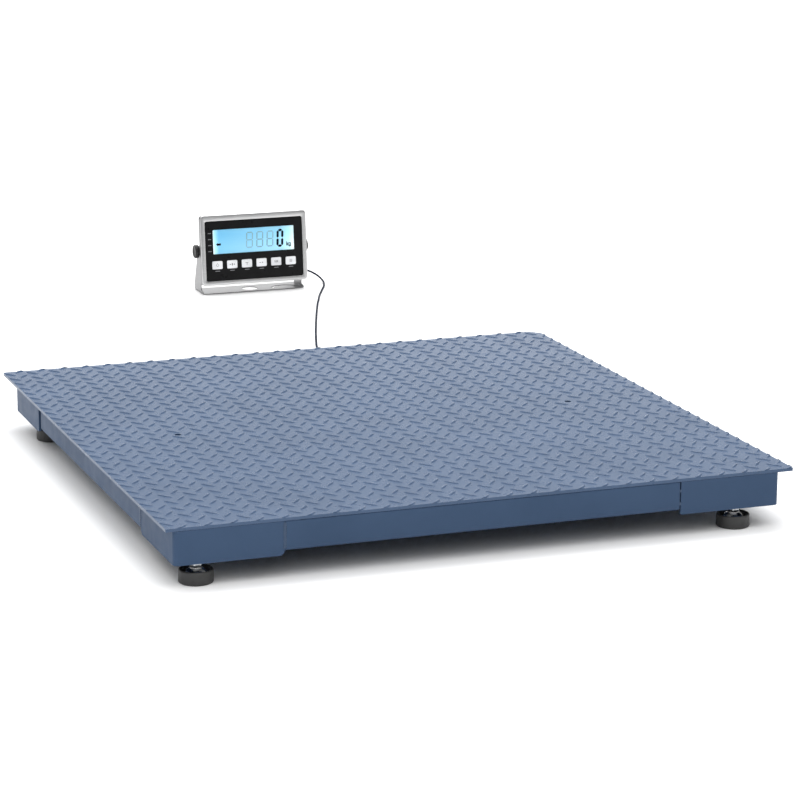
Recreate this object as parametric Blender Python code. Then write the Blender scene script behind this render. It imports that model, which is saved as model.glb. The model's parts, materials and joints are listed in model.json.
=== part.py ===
"""Pallet scale: a square tread-plate platform on four levelling feet, with a separate indicator on a bracket.

Lengths are in metres. Every place is given in plan distances of the platform: x from the load plate's left
edge, y back from its front edge, z up from the floor. at() turns such a place into world coordinates, whose
origin is on the floor under the middle of the whole object, +Y running from the platform to the indicator.
The indicator's casing is drawn in its own axes (x across, z up its face, y into it) under an empty that
stands on the tilt axis.
"""
import math

import bmesh
import bpy
from mathutils import Euler, Matrix, Vector

GAP = 0.0003                      # between touching pieces

# Platform
PLATE = 1.200                     # side of the square load plate
PLATE_THICK = 0.006
DECK_TOP = 0.108                  # height of the plate's top
CLIPPED_CORNER = 0.022            # rear right corner of the plate
PLATE_ROUND = 0.003               # front right corner
LIFT_HOLES = ((0.199, 0.600), (1.008, 0.595))
LIFT_HOLE_RADIUS = 0.0065

FRAME_LEFT, FRAME_RIGHT = 0.014, 1.172
FRAME_FRONT, FRAME_REAR = 0.0, 1.148
CORNER_LONG_X = 0.200             # length of a corner skirt along the front or rear
CORNER_LONG_FRONT = 0.207         # and along the sides, at the front
CORNER_LONG_REAR = 0.193          # and at the rear
CORNER_BOTTOM = 0.040
CORNER_WALL = 0.005
CORNER_BEND = 0.010               # outer radius of the bent corner
SKIRT_BOTTOM = 0.048
SKIRT_WALL = 0.004
SKIRT_FLANGE = 0.025
SIDE_SLOT = 0.019                 # gap in each side skirt ahead of the rear corner
END_ROUND = {"fl": 0.010, "fr": 0.003, "rl": 0.008, "rr": 0.008}  # lower ends of the corner skirts

# Load cells and feet
FOOT_X = {"l": 0.062, "r": 1.094}
FOOT_Y = {"f": 0.030, "r": 1.044}
CELL_WIDTH = 0.032
CELL_BOTTOM, CELL_TOP = 0.051, 0.083
CELL_LONG = 0.112
CELL_END = 0.016                  # from the foot hole to the cell's outer end
CELL_BOLTS = (0.052, 0.080)       # from the foot hole towards the middle
BRACKET_PLATE = 0.008

CUP_RADIUS, CUP_HEIGHT = 0.031, 0.024
BALL_RADIUS, BALL_HEIGHT = 0.011, 0.0205
STUD_RADIUS = 0.0078
COLLAR_RADIUS = 0.0122

# Junction box under the deck
JUNCTION_X, JUNCTION_Y = 0.593, 1.072
JUNCTION_HALF_X, JUNCTION_HALF_Y = 0.060, 0.036
JUNCTION_LOW = 0.062
JUNCTION_PORTS = (-0.016, 0.016)  # the two cable entries on each end, from the box's middle
PORT_Z = 0.080

# Indicator
IND_X = 0.890                     # middle of the indicator
BASE_FRONT, BASE_REAR = 2.278, 2.350
BASE_HALF = 0.1325
SHEET = 0.002
EYE_RADIUS, EYE_IN = 0.020, 0.033  # round opening in the base, and its middle behind the front edge
BOW_X, BOW_IN = 0.088, 0.006      # middle of the curved slot
BOW_RADIUS, BOW_HALF = 0.036, 0.004
TILT = math.radians(6)            # the face leans back
PIVOT_Y, PIVOT_Z = 2.3027, 0.1062
PIVOT_UP, PIVOT_IN = 0.085, 0.032  # pivot's place on the casing, from its lower front edge
CASE_HALF_W, CASE_HIGH = 0.1385, 0.176
BEZEL_DEEP = 0.014
CASE_DEEP = 0.046
PANEL_HALF_W, PANEL_HALF_H = 0.1265, 0.0745
PANEL_UP = 0.0857                 # middle of the panel above the casing's lower edge
WINDOW_HALF_W, WINDOW_HALF_H = 0.106, 0.0305
WINDOW_UP = 0.108
KEY_HALF_W, KEY_HALF_H = 0.0133, 0.0100
KEY_PITCH = 0.0384
KEY_UP = 0.0505
KEY_COUNT = 6
GLAND_X, GLAND_UP = 0.108, 0.020  # where the cable leaves the rear of the casing

# Cable
CABLE_RADIUS = 0.0025
CELL_CABLE_RADIUS = 0.0022
COIL_X, COIL_Y = 0.760, 1.400
COIL_MEAN = 0.0275                # mean radius of the turns, which lie four abreast in two layers
COIL_PITCH = 0.0052
COIL_BAND = 1.5 * COIL_PITCH + CABLE_RADIUS
COIL_HIGH = COIL_PITCH + 2 * CABLE_RADIUS + GAP
OUTLET_X, OUTLET_Z = 0.640, 0.070

OVERALL = BASE_REAR               # front edge of the plate to the back of the indicator's base


def at(x, y, z):
    """World place of a point given in the platform's plan distances."""
    return Vector((x - PLATE / 2, y - OVERALL / 2, z))


# ---------------------------------------------------------------- tools

def material(name, colour, roughness, metallic=0.0):
    made = bpy.data.materials.new(name)
    made.use_nodes = True
    shader = made.node_tree.nodes["Principled BSDF"]
    shader.inputs["Base Color"].default_value = (*colour, 1.0)
    shader.inputs["Roughness"].default_value = roughness
    shader.inputs["Metallic"].default_value = metallic
    return made


def add_object(name, bm, look, origin=(0, 0, 0), parent=None, smooth=None):
    """Turn a bmesh in world coordinates into an object whose origin is at the given place."""
    bmesh.ops.recalc_face_normals(bm, faces=bm.faces)
    bmesh.ops.translate(bm, verts=bm.verts, vec=-Vector(origin))
    mesh = bpy.data.meshes.new(name)
    bm.to_mesh(mesh)
    bm.free()
    made = bpy.data.objects.new(name, mesh)
    bpy.context.collection.objects.link(made)
    made.location = origin
    if look is not None:
        mesh.materials.append(look)
    if smooth is not None:
        mesh.shade_smooth()
        mesh.set_sharp_from_angle(angle=math.radians(smooth))
    if parent is not None:
        made.parent = parent
        made.location = Vector(origin)
    return made


def add_empty(name, place, rotation=(0, 0, 0)):
    made = bpy.data.objects.new(name, None)
    made.empty_display_size = 0.03
    bpy.context.collection.objects.link(made)
    made.location = place
    made.rotation_euler = rotation
    return made


def arc(centre, radius, start, end, steps):
    """Points on an arc, angles in degrees."""
    turns = [math.radians(start + (end - start) * i / steps) for i in range(steps + 1)]
    return [(centre[0] + radius * math.cos(t), centre[1] + radius * math.sin(t)) for t in turns]


def rounded_outline(corners, steps=4):
    """Outline through (a, b, radius) corners, each rounded by its radius."""
    points = []
    count = len(corners)
    for i, (a, b, radius) in enumerate(corners):
        here = Vector((a, b))
        if radius <= 0:
            points.append((a, b))
            continue
        back = (Vector(corners[i - 1][:2]) - here).normalized()
        ahead = (Vector(corners[(i + 1) % count][:2]) - here).normalized()
        half = back.angle(ahead) / 2
        centre = here + (back + ahead).normalized() * radius / math.sin(half)
        first = here + back * radius / math.tan(half) - centre
        last = here + ahead * radius / math.tan(half) - centre
        turn = first.angle_signed(last)
        for k in range(steps + 1):
            spoke = first.copy()
            spoke.rotate(Matrix.Rotation(-turn * k / steps, 2))
            points.append(tuple(centre + spoke))
    return points


def box_outline(a0, a1, b0, b1, radius=0.0):
    return rounded_outline([(a0, b0, radius), (a1, b0, radius), (a1, b1, radius), (a0, b1, radius)])


def swept(outline, low, high, along="Z"):
    """bmesh of an outline extruded along one axis; its two numbers are the other two axes in order."""
    bm = bmesh.new()
    place = {
        "Z": lambda a, b: (a, b, low),
        "Y": lambda a, b: (a, low, b),
        "X": lambda a, b: (low, a, b),
    }[along]
    step = {"Z": (0, 0, high - low), "Y": (0, high - low, 0), "X": (high - low, 0, 0)}[along]
    face = bm.faces.new([bm.verts.new(place(a, b)) for a, b in outline])
    grown = bmesh.ops.extrude_face_region(bm, geom=[face])
    moved = [item for item in grown["geom"] if isinstance(item, bmesh.types.BMVert)]
    bmesh.ops.translate(bm, verts=moved, vec=step)
    return bm


def turned(profile, steps, centre=(0, 0, 0), axis="Z", ring=False):
    """bmesh of a (radius, height) profile spun about an axis through the centre."""
    bm = bmesh.new()
    verts = [bm.verts.new((radius, 0, height)) for radius, height in profile]
    pairs = list(zip(verts, verts[1:]))
    if ring:
        pairs.append((verts[-1], verts[0]))
    edges = [bm.edges.new(pair) for pair in pairs]
    bmesh.ops.spin(bm, geom=verts + edges, cent=(0, 0, 0), axis=(0, 0, 1), angle=2 * math.pi, steps=steps,
                   use_merge=True)
    bmesh.ops.remove_doubles(bm, verts=bm.verts, dist=0.00001)
    if axis == "X":
        bmesh.ops.rotate(bm, verts=bm.verts, cent=(0, 0, 0), matrix=Matrix.Rotation(math.pi / 2, 3, "Y"))
    if axis == "Y":
        bmesh.ops.rotate(bm, verts=bm.verts, cent=(0, 0, 0), matrix=Matrix.Rotation(-math.pi / 2, 3, "X"))
    bmesh.ops.translate(bm, verts=bm.verts, vec=centre)
    return bm


def lofted(rings, closed=False):
    """bmesh of a skin over rounded rectangles: (half width, half height, radius, mid height, y)."""
    bm = bmesh.new()
    loops = []
    for half_w, half_h, radius, mid, y in rings:
        outline = box_outline(-half_w, half_w, mid - half_h, mid + half_h, radius)
        loops.append([bm.verts.new((a, y, b)) for a, b in outline])
    pairs = list(zip(loops, loops[1:]))
    if closed:
        pairs.append((loops[-1], loops[0]))
    for one, two in pairs:
        for i in range(len(one)):
            j = (i + 1) % len(one)
            bm.faces.new((one[i], one[j], two[j], two[i]))
    if not closed:
        bm.faces.new(loops[0])
        bm.faces.new(loops[-1])
    return bm


def cut(target, cutter_mesh, name):
    """Cut a shape out of target with a hidden cutter, placed in the target's parent space."""
    cutter = add_object(name, cutter_mesh, None, parent=target.parent)
    cutter.hide_render = True
    cutter.display_type = "WIRE"
    change = target.modifiers.new(name, "BOOLEAN")
    change.operation = "DIFFERENCE"
    change.solver = "EXACT"
    change.object = cutter


def keep_common(target, cutter_mesh, name):
    """Keep only what target shares with a hidden shape."""
    cut(target, cutter_mesh, name)
    target.modifiers[name].operation = "INTERSECT"


def drill(radius, centre, low, high, axis="Z", steps=24):
    return turned([(0, low), (radius, low), (radius, high), (0, high)], steps, centre, axis)


def smooth_route(points, spacing):
    """Evenly spaced points on a Catmull-Rom curve through the route's own points."""
    ends = [points[0] * 2 - points[1], *points, points[-1] * 2 - points[-2]]
    dense = []
    for i in range(len(points) - 1):
        p0, p1, p2, p3 = ends[i:i + 4]
        for k in range(40):
            t = k / 40
            dense.append(0.5 * (2 * p1 + (p2 - p0) * t + (2 * p0 - 5 * p1 + 4 * p2 - p3) * t ** 2
                                + (3 * p1 - p0 - 3 * p2 + p3) * t ** 3))
    dense.append(points[-1])
    far = [0.0]
    for one, two in zip(dense, dense[1:]):
        far.append(far[-1] + (two - one).length)
    count = max(2, round(far[-1] / spacing))
    even = []
    k = 0
    for i in range(count + 1):
        want = far[-1] * i / count
        while k < len(dense) - 2 and far[k + 1] < want:
            k += 1
        part = (want - far[k]) / max(far[k + 1] - far[k], 1e-9)
        even.append(dense[k].lerp(dense[k + 1], min(1.0, part)))
    return even


def cable(name, route, radius, look, spacing):
    """Round cable along a route, as one closed tube."""
    curve = bpy.data.curves.new(name, "CURVE")
    curve.dimensions = "3D"
    curve.bevel_depth = radius
    curve.bevel_resolution = 2
    curve.use_fill_caps = True
    points = smooth_route([Vector(p) for p in route], spacing)
    spline = curve.splines.new("POLY")
    spline.points.add(len(points) - 1)
    for spot, point in zip(spline.points, points):
        spot.co = (*point, 1.0)
    made = bpy.data.objects.new(name, curve)
    bpy.context.collection.objects.link(made)
    curve.materials.append(look)
    return made


# ---------------------------------------------------------------- platform

CORNERS = ("fl", "fr", "rl", "rr")


def side_of(corner):
    """+1 where the corner is at the left and its pieces run to the right, -1 at the right."""
    return 1 if corner[1] == "l" else -1


def end_of(corner):
    """+1 at the front, where the pieces run back, -1 at the rear."""
    return 1 if corner[0] == "f" else -1


def corner_point(corner, x, y):
    """Plan place of a point x inwards and y inwards of the frame's corner."""
    edge_x = FRAME_LEFT if corner[1] == "l" else FRAME_RIGHT
    edge_y = FRAME_FRONT if corner[0] == "f" else FRAME_REAR
    return edge_x + side_of(corner) * x, edge_y + end_of(corner) * y


def corner_outline(corner, points, steps=4):
    """World outline of a shape given as (x, y, radius) inwards of the frame's corner."""
    placed = []
    for x, y, radius in points:
        spot = at(*corner_point(corner, x, y), 0)
        placed.append((spot.x, spot.y, radius))
    return rounded_outline(placed, steps)


def load_plate(look):
    high = PLATE / 2
    front, rear = at(0, 0, 0).y, at(0, PLATE, 0).y
    outline = rounded_outline([
        (-high, front, 0), (high, front, PLATE_ROUND), (high, rear - CLIPPED_CORNER, 0),
        (high - CLIPPED_CORNER, rear, 0), (-high, rear, 0),
    ])
    plate = add_object("load_plate", swept(outline, DECK_TOP - PLATE_THICK, DECK_TOP), look)
    for i, (x, y) in enumerate(LIFT_HOLES):
        cut(plate, drill(LIFT_HOLE_RADIUS, at(x, y, DECK_TOP), -0.02, 0.02), f"lift_cutter_{i}")


def lifting_nuts(look):
    """Nuts welded under the plate's two holes, for screwed-in lifting eyes."""
    under = DECK_TOP - PLATE_THICK - GAP
    wall = [(0.0062, -0.010), (0.0110, -0.010), (0.0110, 0), (0.0062, 0)]
    for side, (x, y) in zip(("left", "right"), LIFT_HOLES):
        add_object(f"lifting_nut_{side}", turned(wall, 6, at(x, y, under), ring=True), look)


def centre_skirts(look):
    """Channel skirts between the corners, open inwards."""
    top = DECK_TOP - PLATE_THICK - GAP
    low, wall, flange = SKIRT_BOTTOM, SKIRT_WALL, SKIRT_FLANGE
    channel = [(0, low), (flange, low), (flange, low + wall), (wall, low + wall), (wall, top - wall),
               (flange, top - wall), (flange, top), (0, top)]
    left_end = FRAME_LEFT + CORNER_LONG_X + GAP
    right_end = FRAME_RIGHT - CORNER_LONG_X - GAP
    front_end = CORNER_LONG_FRONT + GAP
    rear_end = FRAME_REAR - CORNER_LONG_REAR - SIDE_SLOT
    runs = {
        "front": ("X", FRAME_FRONT, 1, left_end, right_end),
        "rear": ("X", FRAME_REAR, -1, left_end, right_end),
        "left": ("Y", FRAME_LEFT, 1, front_end, rear_end),
        "right": ("Y", FRAME_RIGHT, -1, front_end, rear_end),
    }
    for side, (along, edge, inward, start, end) in runs.items():
        if along == "X":
            outline = [(at(0, edge + inward * a, 0).y, b) for a, b in channel]
            bm = swept(outline, at(start, 0, 0).x, at(end, 0, 0).x, "X")
        else:
            outline = [(at(edge + inward * a, 0, 0).x, b) for a, b in channel]
            bm = swept(outline, at(0, start, 0).y, at(0, end, 0).y, "Y")
        skirt = add_object(f"skirt_{side}", bm, look)
        if side == "rear":
            cut(skirt, drill(0.0083, at(OUTLET_X, FRAME_REAR, OUTLET_Z), -0.02, 0.02, "Y"), "outlet_cutter")


def corner_skirt(corner, look):
    """L of thick sheet bent round one corner, its two lower ends rounded."""
    long_y = CORNER_LONG_FRONT if corner[0] == "f" else CORNER_LONG_REAR
    outline = corner_outline(corner, [
        (0, 0, CORNER_BEND), (CORNER_LONG_X, 0, 0), (CORNER_LONG_X, CORNER_WALL, 0),
        (CORNER_WALL, CORNER_WALL, CORNER_BEND - CORNER_WALL), (CORNER_WALL, long_y, 0), (0, long_y, 0),
    ])
    top = DECK_TOP - PLATE_THICK - GAP
    bm = swept(outline, CORNER_BOTTOM, top)
    ends = (at(*corner_point(corner, CORNER_LONG_X, 0), 0).x, at(*corner_point(corner, 0, long_y), 0).y)
    lower = []
    for edge in bm.edges:
        low = all(abs(v.co.z - CORNER_BOTTOM) < 1e-6 for v in edge.verts)
        end = any(all(abs(v.co[axis] - ends[axis]) < 1e-6 for v in edge.verts) for axis in (0, 1))
        if low and end:
            lower.append(edge)
    bmesh.ops.bevel(bm, geom=lower, offset=END_ROUND[corner], segments=4, profile=0.5, affect="EDGES")
    add_object(f"corner_skirt_{corner}", bm, look, smooth=30)


def foot_place(corner):
    return FOOT_X[corner[1]], FOOT_Y[corner[0]]


def cell_bracket(corner, look):
    """Thick plate under the deck with a pad for the load cell and a wall that closes the corner."""
    long_y = CORNER_LONG_FRONT if corner[0] == "f" else CORNER_LONG_REAR
    clear = CORNER_WALL + GAP
    top = DECK_TOP - PLATE_THICK - GAP
    under = top - BRACKET_PLATE
    inner_x, inner_y = CORNER_LONG_X - 0.008, long_y - 0.008
    wall = 0.004
    block = corner_outline(corner, [
        (clear, clear, 0.006), (inner_x, clear, 0), (inner_x, inner_y, 0), (clear, inner_y, 0)])
    bracket = add_object(f"cell_bracket_{corner}", swept(block, CORNER_BOTTOM + 0.006, top), look)
    inside = corner_outline(corner, [
        (-0.02, -0.02, 0), (inner_x - wall, -0.02, 0), (inner_x - wall, inner_y - wall, 0),
        (-0.02, inner_y - wall, 0)])
    cut(bracket, swept(inside, CORNER_BOTTOM - 0.01, under), f"inside_cutter_{corner}")
    x, y = foot_place(corner)
    middle = x + side_of(corner) * sum(CELL_BOLTS) / 2
    a, b = at(middle - 0.026, y - CELL_WIDTH / 2, 0), at(middle + 0.026, y + CELL_WIDTH / 2, 0)
    pad = swept(box_outline(a.x, b.x, a.y, b.y), CELL_TOP + GAP, top - 0.003)
    cut(bracket, pad, f"pad_{corner}")
    bracket.modifiers[f"pad_{corner}"].operation = "UNION"
    wall_x = corner_point(corner, inner_x, 0)[0]
    cut(bracket, drill(0.0045, at(wall_x, y, 0.067), -0.015, 0.015, "X", 12), f"cable_cutter_{corner}")


def load_cell(corner, look):
    """Bending-beam load cell: foot hole at its outer end, gauge pockets in its sides."""
    x, y = foot_place(corner)
    inward = side_of(corner)
    ends = sorted((at(x - inward * CELL_END, 0, 0).x, at(x + inward * (CELL_LONG - CELL_END), 0, 0).x))
    front, rear = at(0, y - CELL_WIDTH / 2, 0).y, at(0, y + CELL_WIDTH / 2, 0).y
    bm = swept(box_outline(*ends, front, rear, 0.002), CELL_BOTTOM, CELL_TOP)
    cell = add_object(f"load_cell_{corner}", bm, look)
    cut(cell, drill(STUD_RADIUS + GAP, at(x, y, CELL_BOTTOM), -0.01, 0.05), f"stud_cutter_{corner}")
    gauge = at(x + inward * 0.028, y, (CELL_BOTTOM + CELL_TOP) / 2)
    for i, reach in enumerate(((-0.017, -0.010), (0.010, 0.017))):
        cut(cell, drill(0.0085, gauge, *reach, "Y", 20), f"gauge_cutter_{corner}_{i}")


def foot(corner, steel, chrome, rubber):
    """Rubber cup, steel seat and ball-ended stud of one levelling foot."""
    place = at(*foot_place(corner), 0)
    axis = add_empty(f"foot_axis_{corner}", place)
    floor, wall = 0.005, 0.0052
    cup = [(0, 0), (CUP_RADIUS - 0.002, 0), (CUP_RADIUS, 0.002), (CUP_RADIUS - 0.0005, CUP_HEIGHT - 0.0015),
           (CUP_RADIUS - 0.002, CUP_HEIGHT), (CUP_RADIUS - wall + 0.001, CUP_HEIGHT),
           (CUP_RADIUS - wall, CUP_HEIGHT - 0.0015), (CUP_RADIUS - wall, floor), (0, floor)]
    add_object(f"foot_cup_{corner}", turned(cup, 24), rubber, parent=axis, smooth=30)

    socket = BALL_RADIUS + 0.0008
    hollow = arc((0, BALL_HEIGHT), socket, 30, -75, 6)
    rim = CUP_RADIUS - wall - GAP
    seat = [(0, floor + GAP), (rim, floor + GAP), (rim, 0.0145), (rim - 0.0012, 0.0158), (0.0228, 0.0185),
            (0.0205, 0.0226), (0.0170, 0.0262), (0.0130, 0.0285), (0.0112, 0.0286), *hollow,
            (0, BALL_HEIGHT - socket)]
    add_object(f"foot_seat_{corner}", turned(seat, 20), chrome, parent=axis, smooth=30)

    neck = 0.0065
    rise = math.degrees(math.acos(neck / BALL_RADIUS))
    ball = arc((0, BALL_HEIGHT), BALL_RADIUS, -90, rise, 5)
    top = CELL_TOP + 0.003
    stud = [(0, BALL_HEIGHT - BALL_RADIUS), *ball[1:], (neck, 0.0302),
            (COLLAR_RADIUS, 0.0305), (COLLAR_RADIUS, 0.0367), (STUD_RADIUS, 0.0370),
            (STUD_RADIUS, top - 0.001), (STUD_RADIUS - 0.001, top), (0, top)]
    add_object(f"foot_stud_{corner}", turned(stud, 16), steel, parent=axis, smooth=30)


def deck_ribs(look):
    """Hat-shaped ribs along the underside of the plate."""
    top = DECK_TOP - PLATE_THICK - GAP
    low, wall, half, lip = 0.058, 0.004, 0.036, 0.020
    for side, x in (("left", 0.400), ("right", 0.786)):
        mid = at(x, 0, 0).x
        hat = [(-half - lip, top), (-half - lip, top - wall), (-half, top - wall), (-half, low), (half, low),
               (half, top - wall), (half + lip, top - wall), (half + lip, top), (half - wall, top),
               (half - wall, low + wall), (wall - half, low + wall), (wall - half, top)]
        outline = [(mid + a, b) for a, b in hat]
        add_object(f"deck_rib_{side}", swept(outline, at(0, 0.060, 0).y, at(0, 1.000, 0).y, "Y"), look)


def junction_box(plastic):
    """Summing box under the deck: a shell open downwards and its lid."""
    mid = at(JUNCTION_X, JUNCTION_Y, 0)
    top = DECK_TOP - PLATE_THICK - GAP
    half_x, half_y, wall = JUNCTION_HALF_X, JUNCTION_HALF_Y, 0.003
    shell = swept(box_outline(mid.x - half_x, mid.x + half_x, mid.y - half_y, mid.y + half_y, 0.004),
                  JUNCTION_LOW, top)
    body = add_object("junction_box", shell, plastic)
    inside = box_outline(mid.x - half_x + wall, mid.x + half_x - wall, mid.y - half_y + wall,
                         mid.y + half_y - wall, 0.002)
    cut(body, swept(inside, JUNCTION_LOW - 0.01, top - wall), "junction_cutter")
    lid = box_outline(mid.x - half_x, mid.x + half_x, mid.y - half_y, mid.y + half_y, 0.004)
    add_object("junction_lid", swept(lid, JUNCTION_LOW - 0.004, JUNCTION_LOW - GAP), plastic)


def cell_cables(look):
    """Lead of each load cell, clipped under the deck on its way to the junction box."""
    for corner in CORNERS:
        x, y = foot_place(corner)
        inward = side_of(corner)
        start = x + inward * (CELL_LONG - CELL_END + 0.0004)
        port = JUNCTION_X - inward * (JUNCTION_HALF_X + 0.001)
        row = JUNCTION_Y + JUNCTION_PORTS[0 if corner[0] == "f" else 1]
        lane = 0.593 - inward * 0.250
        route = [at(start, y, 0.067), at(start + inward * 0.030, y, 0.067),
                 at(start + inward * 0.062, y, 0.067)]
        if corner[0] == "f":
            route += [at(lane - inward * 0.060, y + 0.040, 0.082), at(lane, y + 0.140, 0.085),
                      at(lane, 0.300, 0.085), at(lane, 0.650, 0.085), at(lane, 0.940, 0.085),
                      at(lane + inward * 0.035, 1.030, 0.083)]
        else:
            route += [at(lane - inward * 0.050, y + 0.020, 0.080),
                      at(lane + inward * 0.060, row + 0.004, 0.083)]
        route += [at(port - inward * 0.040, row, PORT_Z), at(port, row, PORT_Z)]
        cable(f"cell_cable_{corner}", route, CELL_CABLE_RADIUS, look, 0.030)


def cable_outlet(look):
    """Strain relief in the rear skirt, where the indicator's cable goes in."""
    wall = -SKIRT_WALL
    profile = [(CABLE_RADIUS + GAP, wall - 0.006), (0.0105, wall - 0.006), (0.0105, wall - GAP),
               (0.0080, wall - GAP),
               (0.0080, GAP), (0.0105, GAP), (0.0105, 0.004), (0.0075, 0.006), (0.0050, 0.022),
               (CABLE_RADIUS + GAP, 0.022)]
    add_object("cable_outlet", turned(profile, 16, at(OUTLET_X, FRAME_REAR, OUTLET_Z), "Y", ring=True), look,
               smooth=35)


# ---------------------------------------------------------------- indicator

def on_case(up, inside):
    """Height and depth on the casing, measured from its lower front edge, in the tilt axis's own space."""
    return up - PIVOT_UP, inside - PIVOT_IN


def ring(half_w, half_h, radius, up, inside):
    height, depth = on_case(up, inside)
    return half_w, half_h, radius, height, depth


def panel_sheet(half_w, half_h, up, front, back, radius):
    """Flat rounded sheet parallel to the casing's face, as a bmesh in the tilt axis's space."""
    height, near = on_case(up, front)
    outline = box_outline(-half_w, half_w, height - half_h, height + half_h, radius)
    return swept(outline, near, on_case(up, back)[1], "Y")


def key_x(i):
    return (i - (KEY_COUNT - 1) / 2) * KEY_PITCH - 0.0010


def casing(axis, steel):
    """Front bezel and rear cover of sheet steel."""
    mid = CASE_HIGH / 2
    open_w, open_h = PANEL_HALF_W + 0.0003, PANEL_HALF_H + 0.0003
    bezel = lofted([
        ring(open_w, open_h, 0.004, PANEL_UP, 0.0), ring(CASE_HALF_W - 0.0015, mid - 0.0015, 0.009, mid, 0.0),
        ring(CASE_HALF_W, mid, 0.010, mid, 0.0015), ring(CASE_HALF_W, mid, 0.010, mid, BEZEL_DEEP),
        ring(CASE_HALF_W - SHEET, mid - SHEET, 0.008, mid, BEZEL_DEEP),
        ring(CASE_HALF_W - SHEET, mid - SHEET, 0.008, mid, 0.0015),
        ring(open_w, open_h, 0.004, PANEL_UP, 0.0015),
    ], closed=True)
    add_object("indicator_bezel", bezel, steel, parent=axis, smooth=30)
    lip_w, lip_h = CASE_HALF_W - SHEET - GAP, mid - SHEET - GAP
    cover = lofted([
        ring(0.1220, 0.0740, 0.006, mid, CASE_DEEP - SHEET), ring(0.1280, 0.0800, 0.006, mid, 0.031),
        ring(0.1280, 0.0800, 0.006, mid, 0.0115), ring(lip_w, lip_h, 0.0075, mid, 0.0115),
        ring(lip_w, lip_h, 0.0075, mid, 0.0137), ring(0.1300, 0.0820, 0.008, mid, 0.0137),
        ring(0.1300, 0.0820, 0.008, mid, 0.032), ring(0.1240, 0.0760, 0.008, mid, CASE_DEEP),
    ])
    cover = add_object("indicator_cover", cover, steel, parent=axis, smooth=30)
    height, depth = on_case(GLAND_UP, CASE_DEEP)
    cut(cover, drill(0.0066, (GLAND_X, depth, height), -0.02, 0.01, "Y", 16), "gland_cutter")


def front_panel(axis, plastic, glass, cells, board):
    """Keypad sheet with its window, the display behind it and the circuit board."""
    front, back = 0.0018, 0.0038
    panel = add_object("keypad_panel", panel_sheet(0.1335, 0.0810, PANEL_UP, front, back, 0.004), plastic,
                       parent=axis)
    window = panel_sheet(WINDOW_HALF_W + GAP, WINDOW_HALF_H + GAP, WINDOW_UP,
                         front - 0.01, back + 0.01, 0.002)
    cut(panel, window, "window_cutter")
    for i in range(KEY_COUNT):
        hole = panel_sheet(KEY_HALF_W + GAP, KEY_HALF_H + GAP, KEY_UP, front - 0.01, back + 0.01, 0.002)
        bmesh.ops.translate(hole, verts=hole.verts, vec=(key_x(i), 0, 0))
        cut(panel, hole, f"key_cutter_{i + 1}")
    pane = panel_sheet(WINDOW_HALF_W, WINDOW_HALF_H, WINDOW_UP, front, 0.0032, 0.002)
    add_object("display_window", pane, glass,
               parent=axis)
    display = panel_sheet(0.104, 0.0290, WINDOW_UP, 0.0042, 0.0080, 0.001)
    add_object("display_lcd", display, cells, parent=axis)
    add_object("main_board", panel_sheet(0.115, 0.0700, PANEL_UP, 0.0110, 0.0126, 0.001), board, parent=axis)


def keys(axis, plastic):
    """Six soft keys that stand a little proud of the panel."""
    for i in range(KEY_COUNT):
        height, depth = on_case(KEY_UP, 0.0010)
        bm = panel_sheet(KEY_HALF_W, KEY_HALF_H, KEY_UP, 0.0010, 0.0060, 0.002)
        bmesh.ops.translate(bm, verts=bm.verts, vec=(key_x(i), 0, 0))
        add_object(f"key_{i + 1}", bm, plastic, origin=(key_x(i), depth, height), parent=axis)


def bracket(steel):
    """U of sheet steel: a base on the floor and two ears that rise to the pivots."""
    mid = at(IND_X, 0, 0).x
    front, rear = at(0, BASE_FRONT, 0).y, at(0, BASE_REAR, 0).y
    pivot = at(0, PIVOT_Y, 0).y
    high = PIVOT_Z + 0.020
    half, inner = BASE_HALF, BASE_HALF - SHEET
    sheet = rounded_outline([(mid - half, 0, 0.004), (mid + half, 0, 0.004), (mid + half, high, 0),
                             (mid + inner, high, 0), (mid + inner, SHEET, 0.002), (mid - inner, SHEET, 0.002),
                             (mid - inner, high, 0), (mid - half, high, 0)])
    made = add_object("indicator_bracket", swept(sheet, front, rear, "Y"), steel, smooth=30)
    side = rounded_outline([
        (front, -0.001, 0), (rear, -0.001, 0), (rear, 0.020, 0.010), (pivot + 0.014, PIVOT_Z + 0.013, 0.013),
        (pivot - 0.012, PIVOT_Z + 0.013, 0.012), (pivot - 0.007, 0.010, 0.006), (front, SHEET + 0.004, 0.002),
    ])
    keep_common(made, swept(side, mid - half - 0.01, mid + half + 0.01, "X"), "side_profile")
    cut(made, drill(0.0044, at(IND_X, PIVOT_Y, PIVOT_Z), -0.15, 0.15, "X", 20), "pivot_cutter")
    eye = at(IND_X, BASE_FRONT + EYE_IN, 0)
    cut(made, drill(EYE_RADIUS, eye, -0.01, 0.01, steps=32), "eye_cutter")
    bow = at(IND_X + BOW_X, BASE_FRONT + BOW_IN, 0)
    outer = arc((bow.x, bow.y), BOW_RADIUS + BOW_HALF, 25, 155, 12)
    inner_edge = arc((bow.x, bow.y), BOW_RADIUS - BOW_HALF, 155, 25, 12)
    cut(made, swept(outer + inner_edge, -0.01, 0.01), "bow_cutter")


def knobs(axis, plastic):
    """Clamping knobs, each with its screw through an ear."""
    inner = BASE_HALF + GAP
    outline = [(0, inner - 0.0023), (0.0040, inner - 0.0023), (0.0040, inner), (0.0090, inner),
               (0.0095, inner + 0.003), (0.0155, inner + 0.004), (0.0165, inner + 0.005),
               (0.0165, inner + 0.013), (0.0150, inner + 0.0145), (0, inner + 0.0145)]
    for side, turn in (("left", math.pi), ("right", 0.0)):
        bm = turned(outline, 24, axis="X")
        bmesh.ops.rotate(bm, verts=bm.verts, cent=(0, 0, 0), matrix=Matrix.Rotation(turn, 3, "Z"))
        add_object(f"knob_{side}", bm, plastic, parent=axis, smooth=35)


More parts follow.
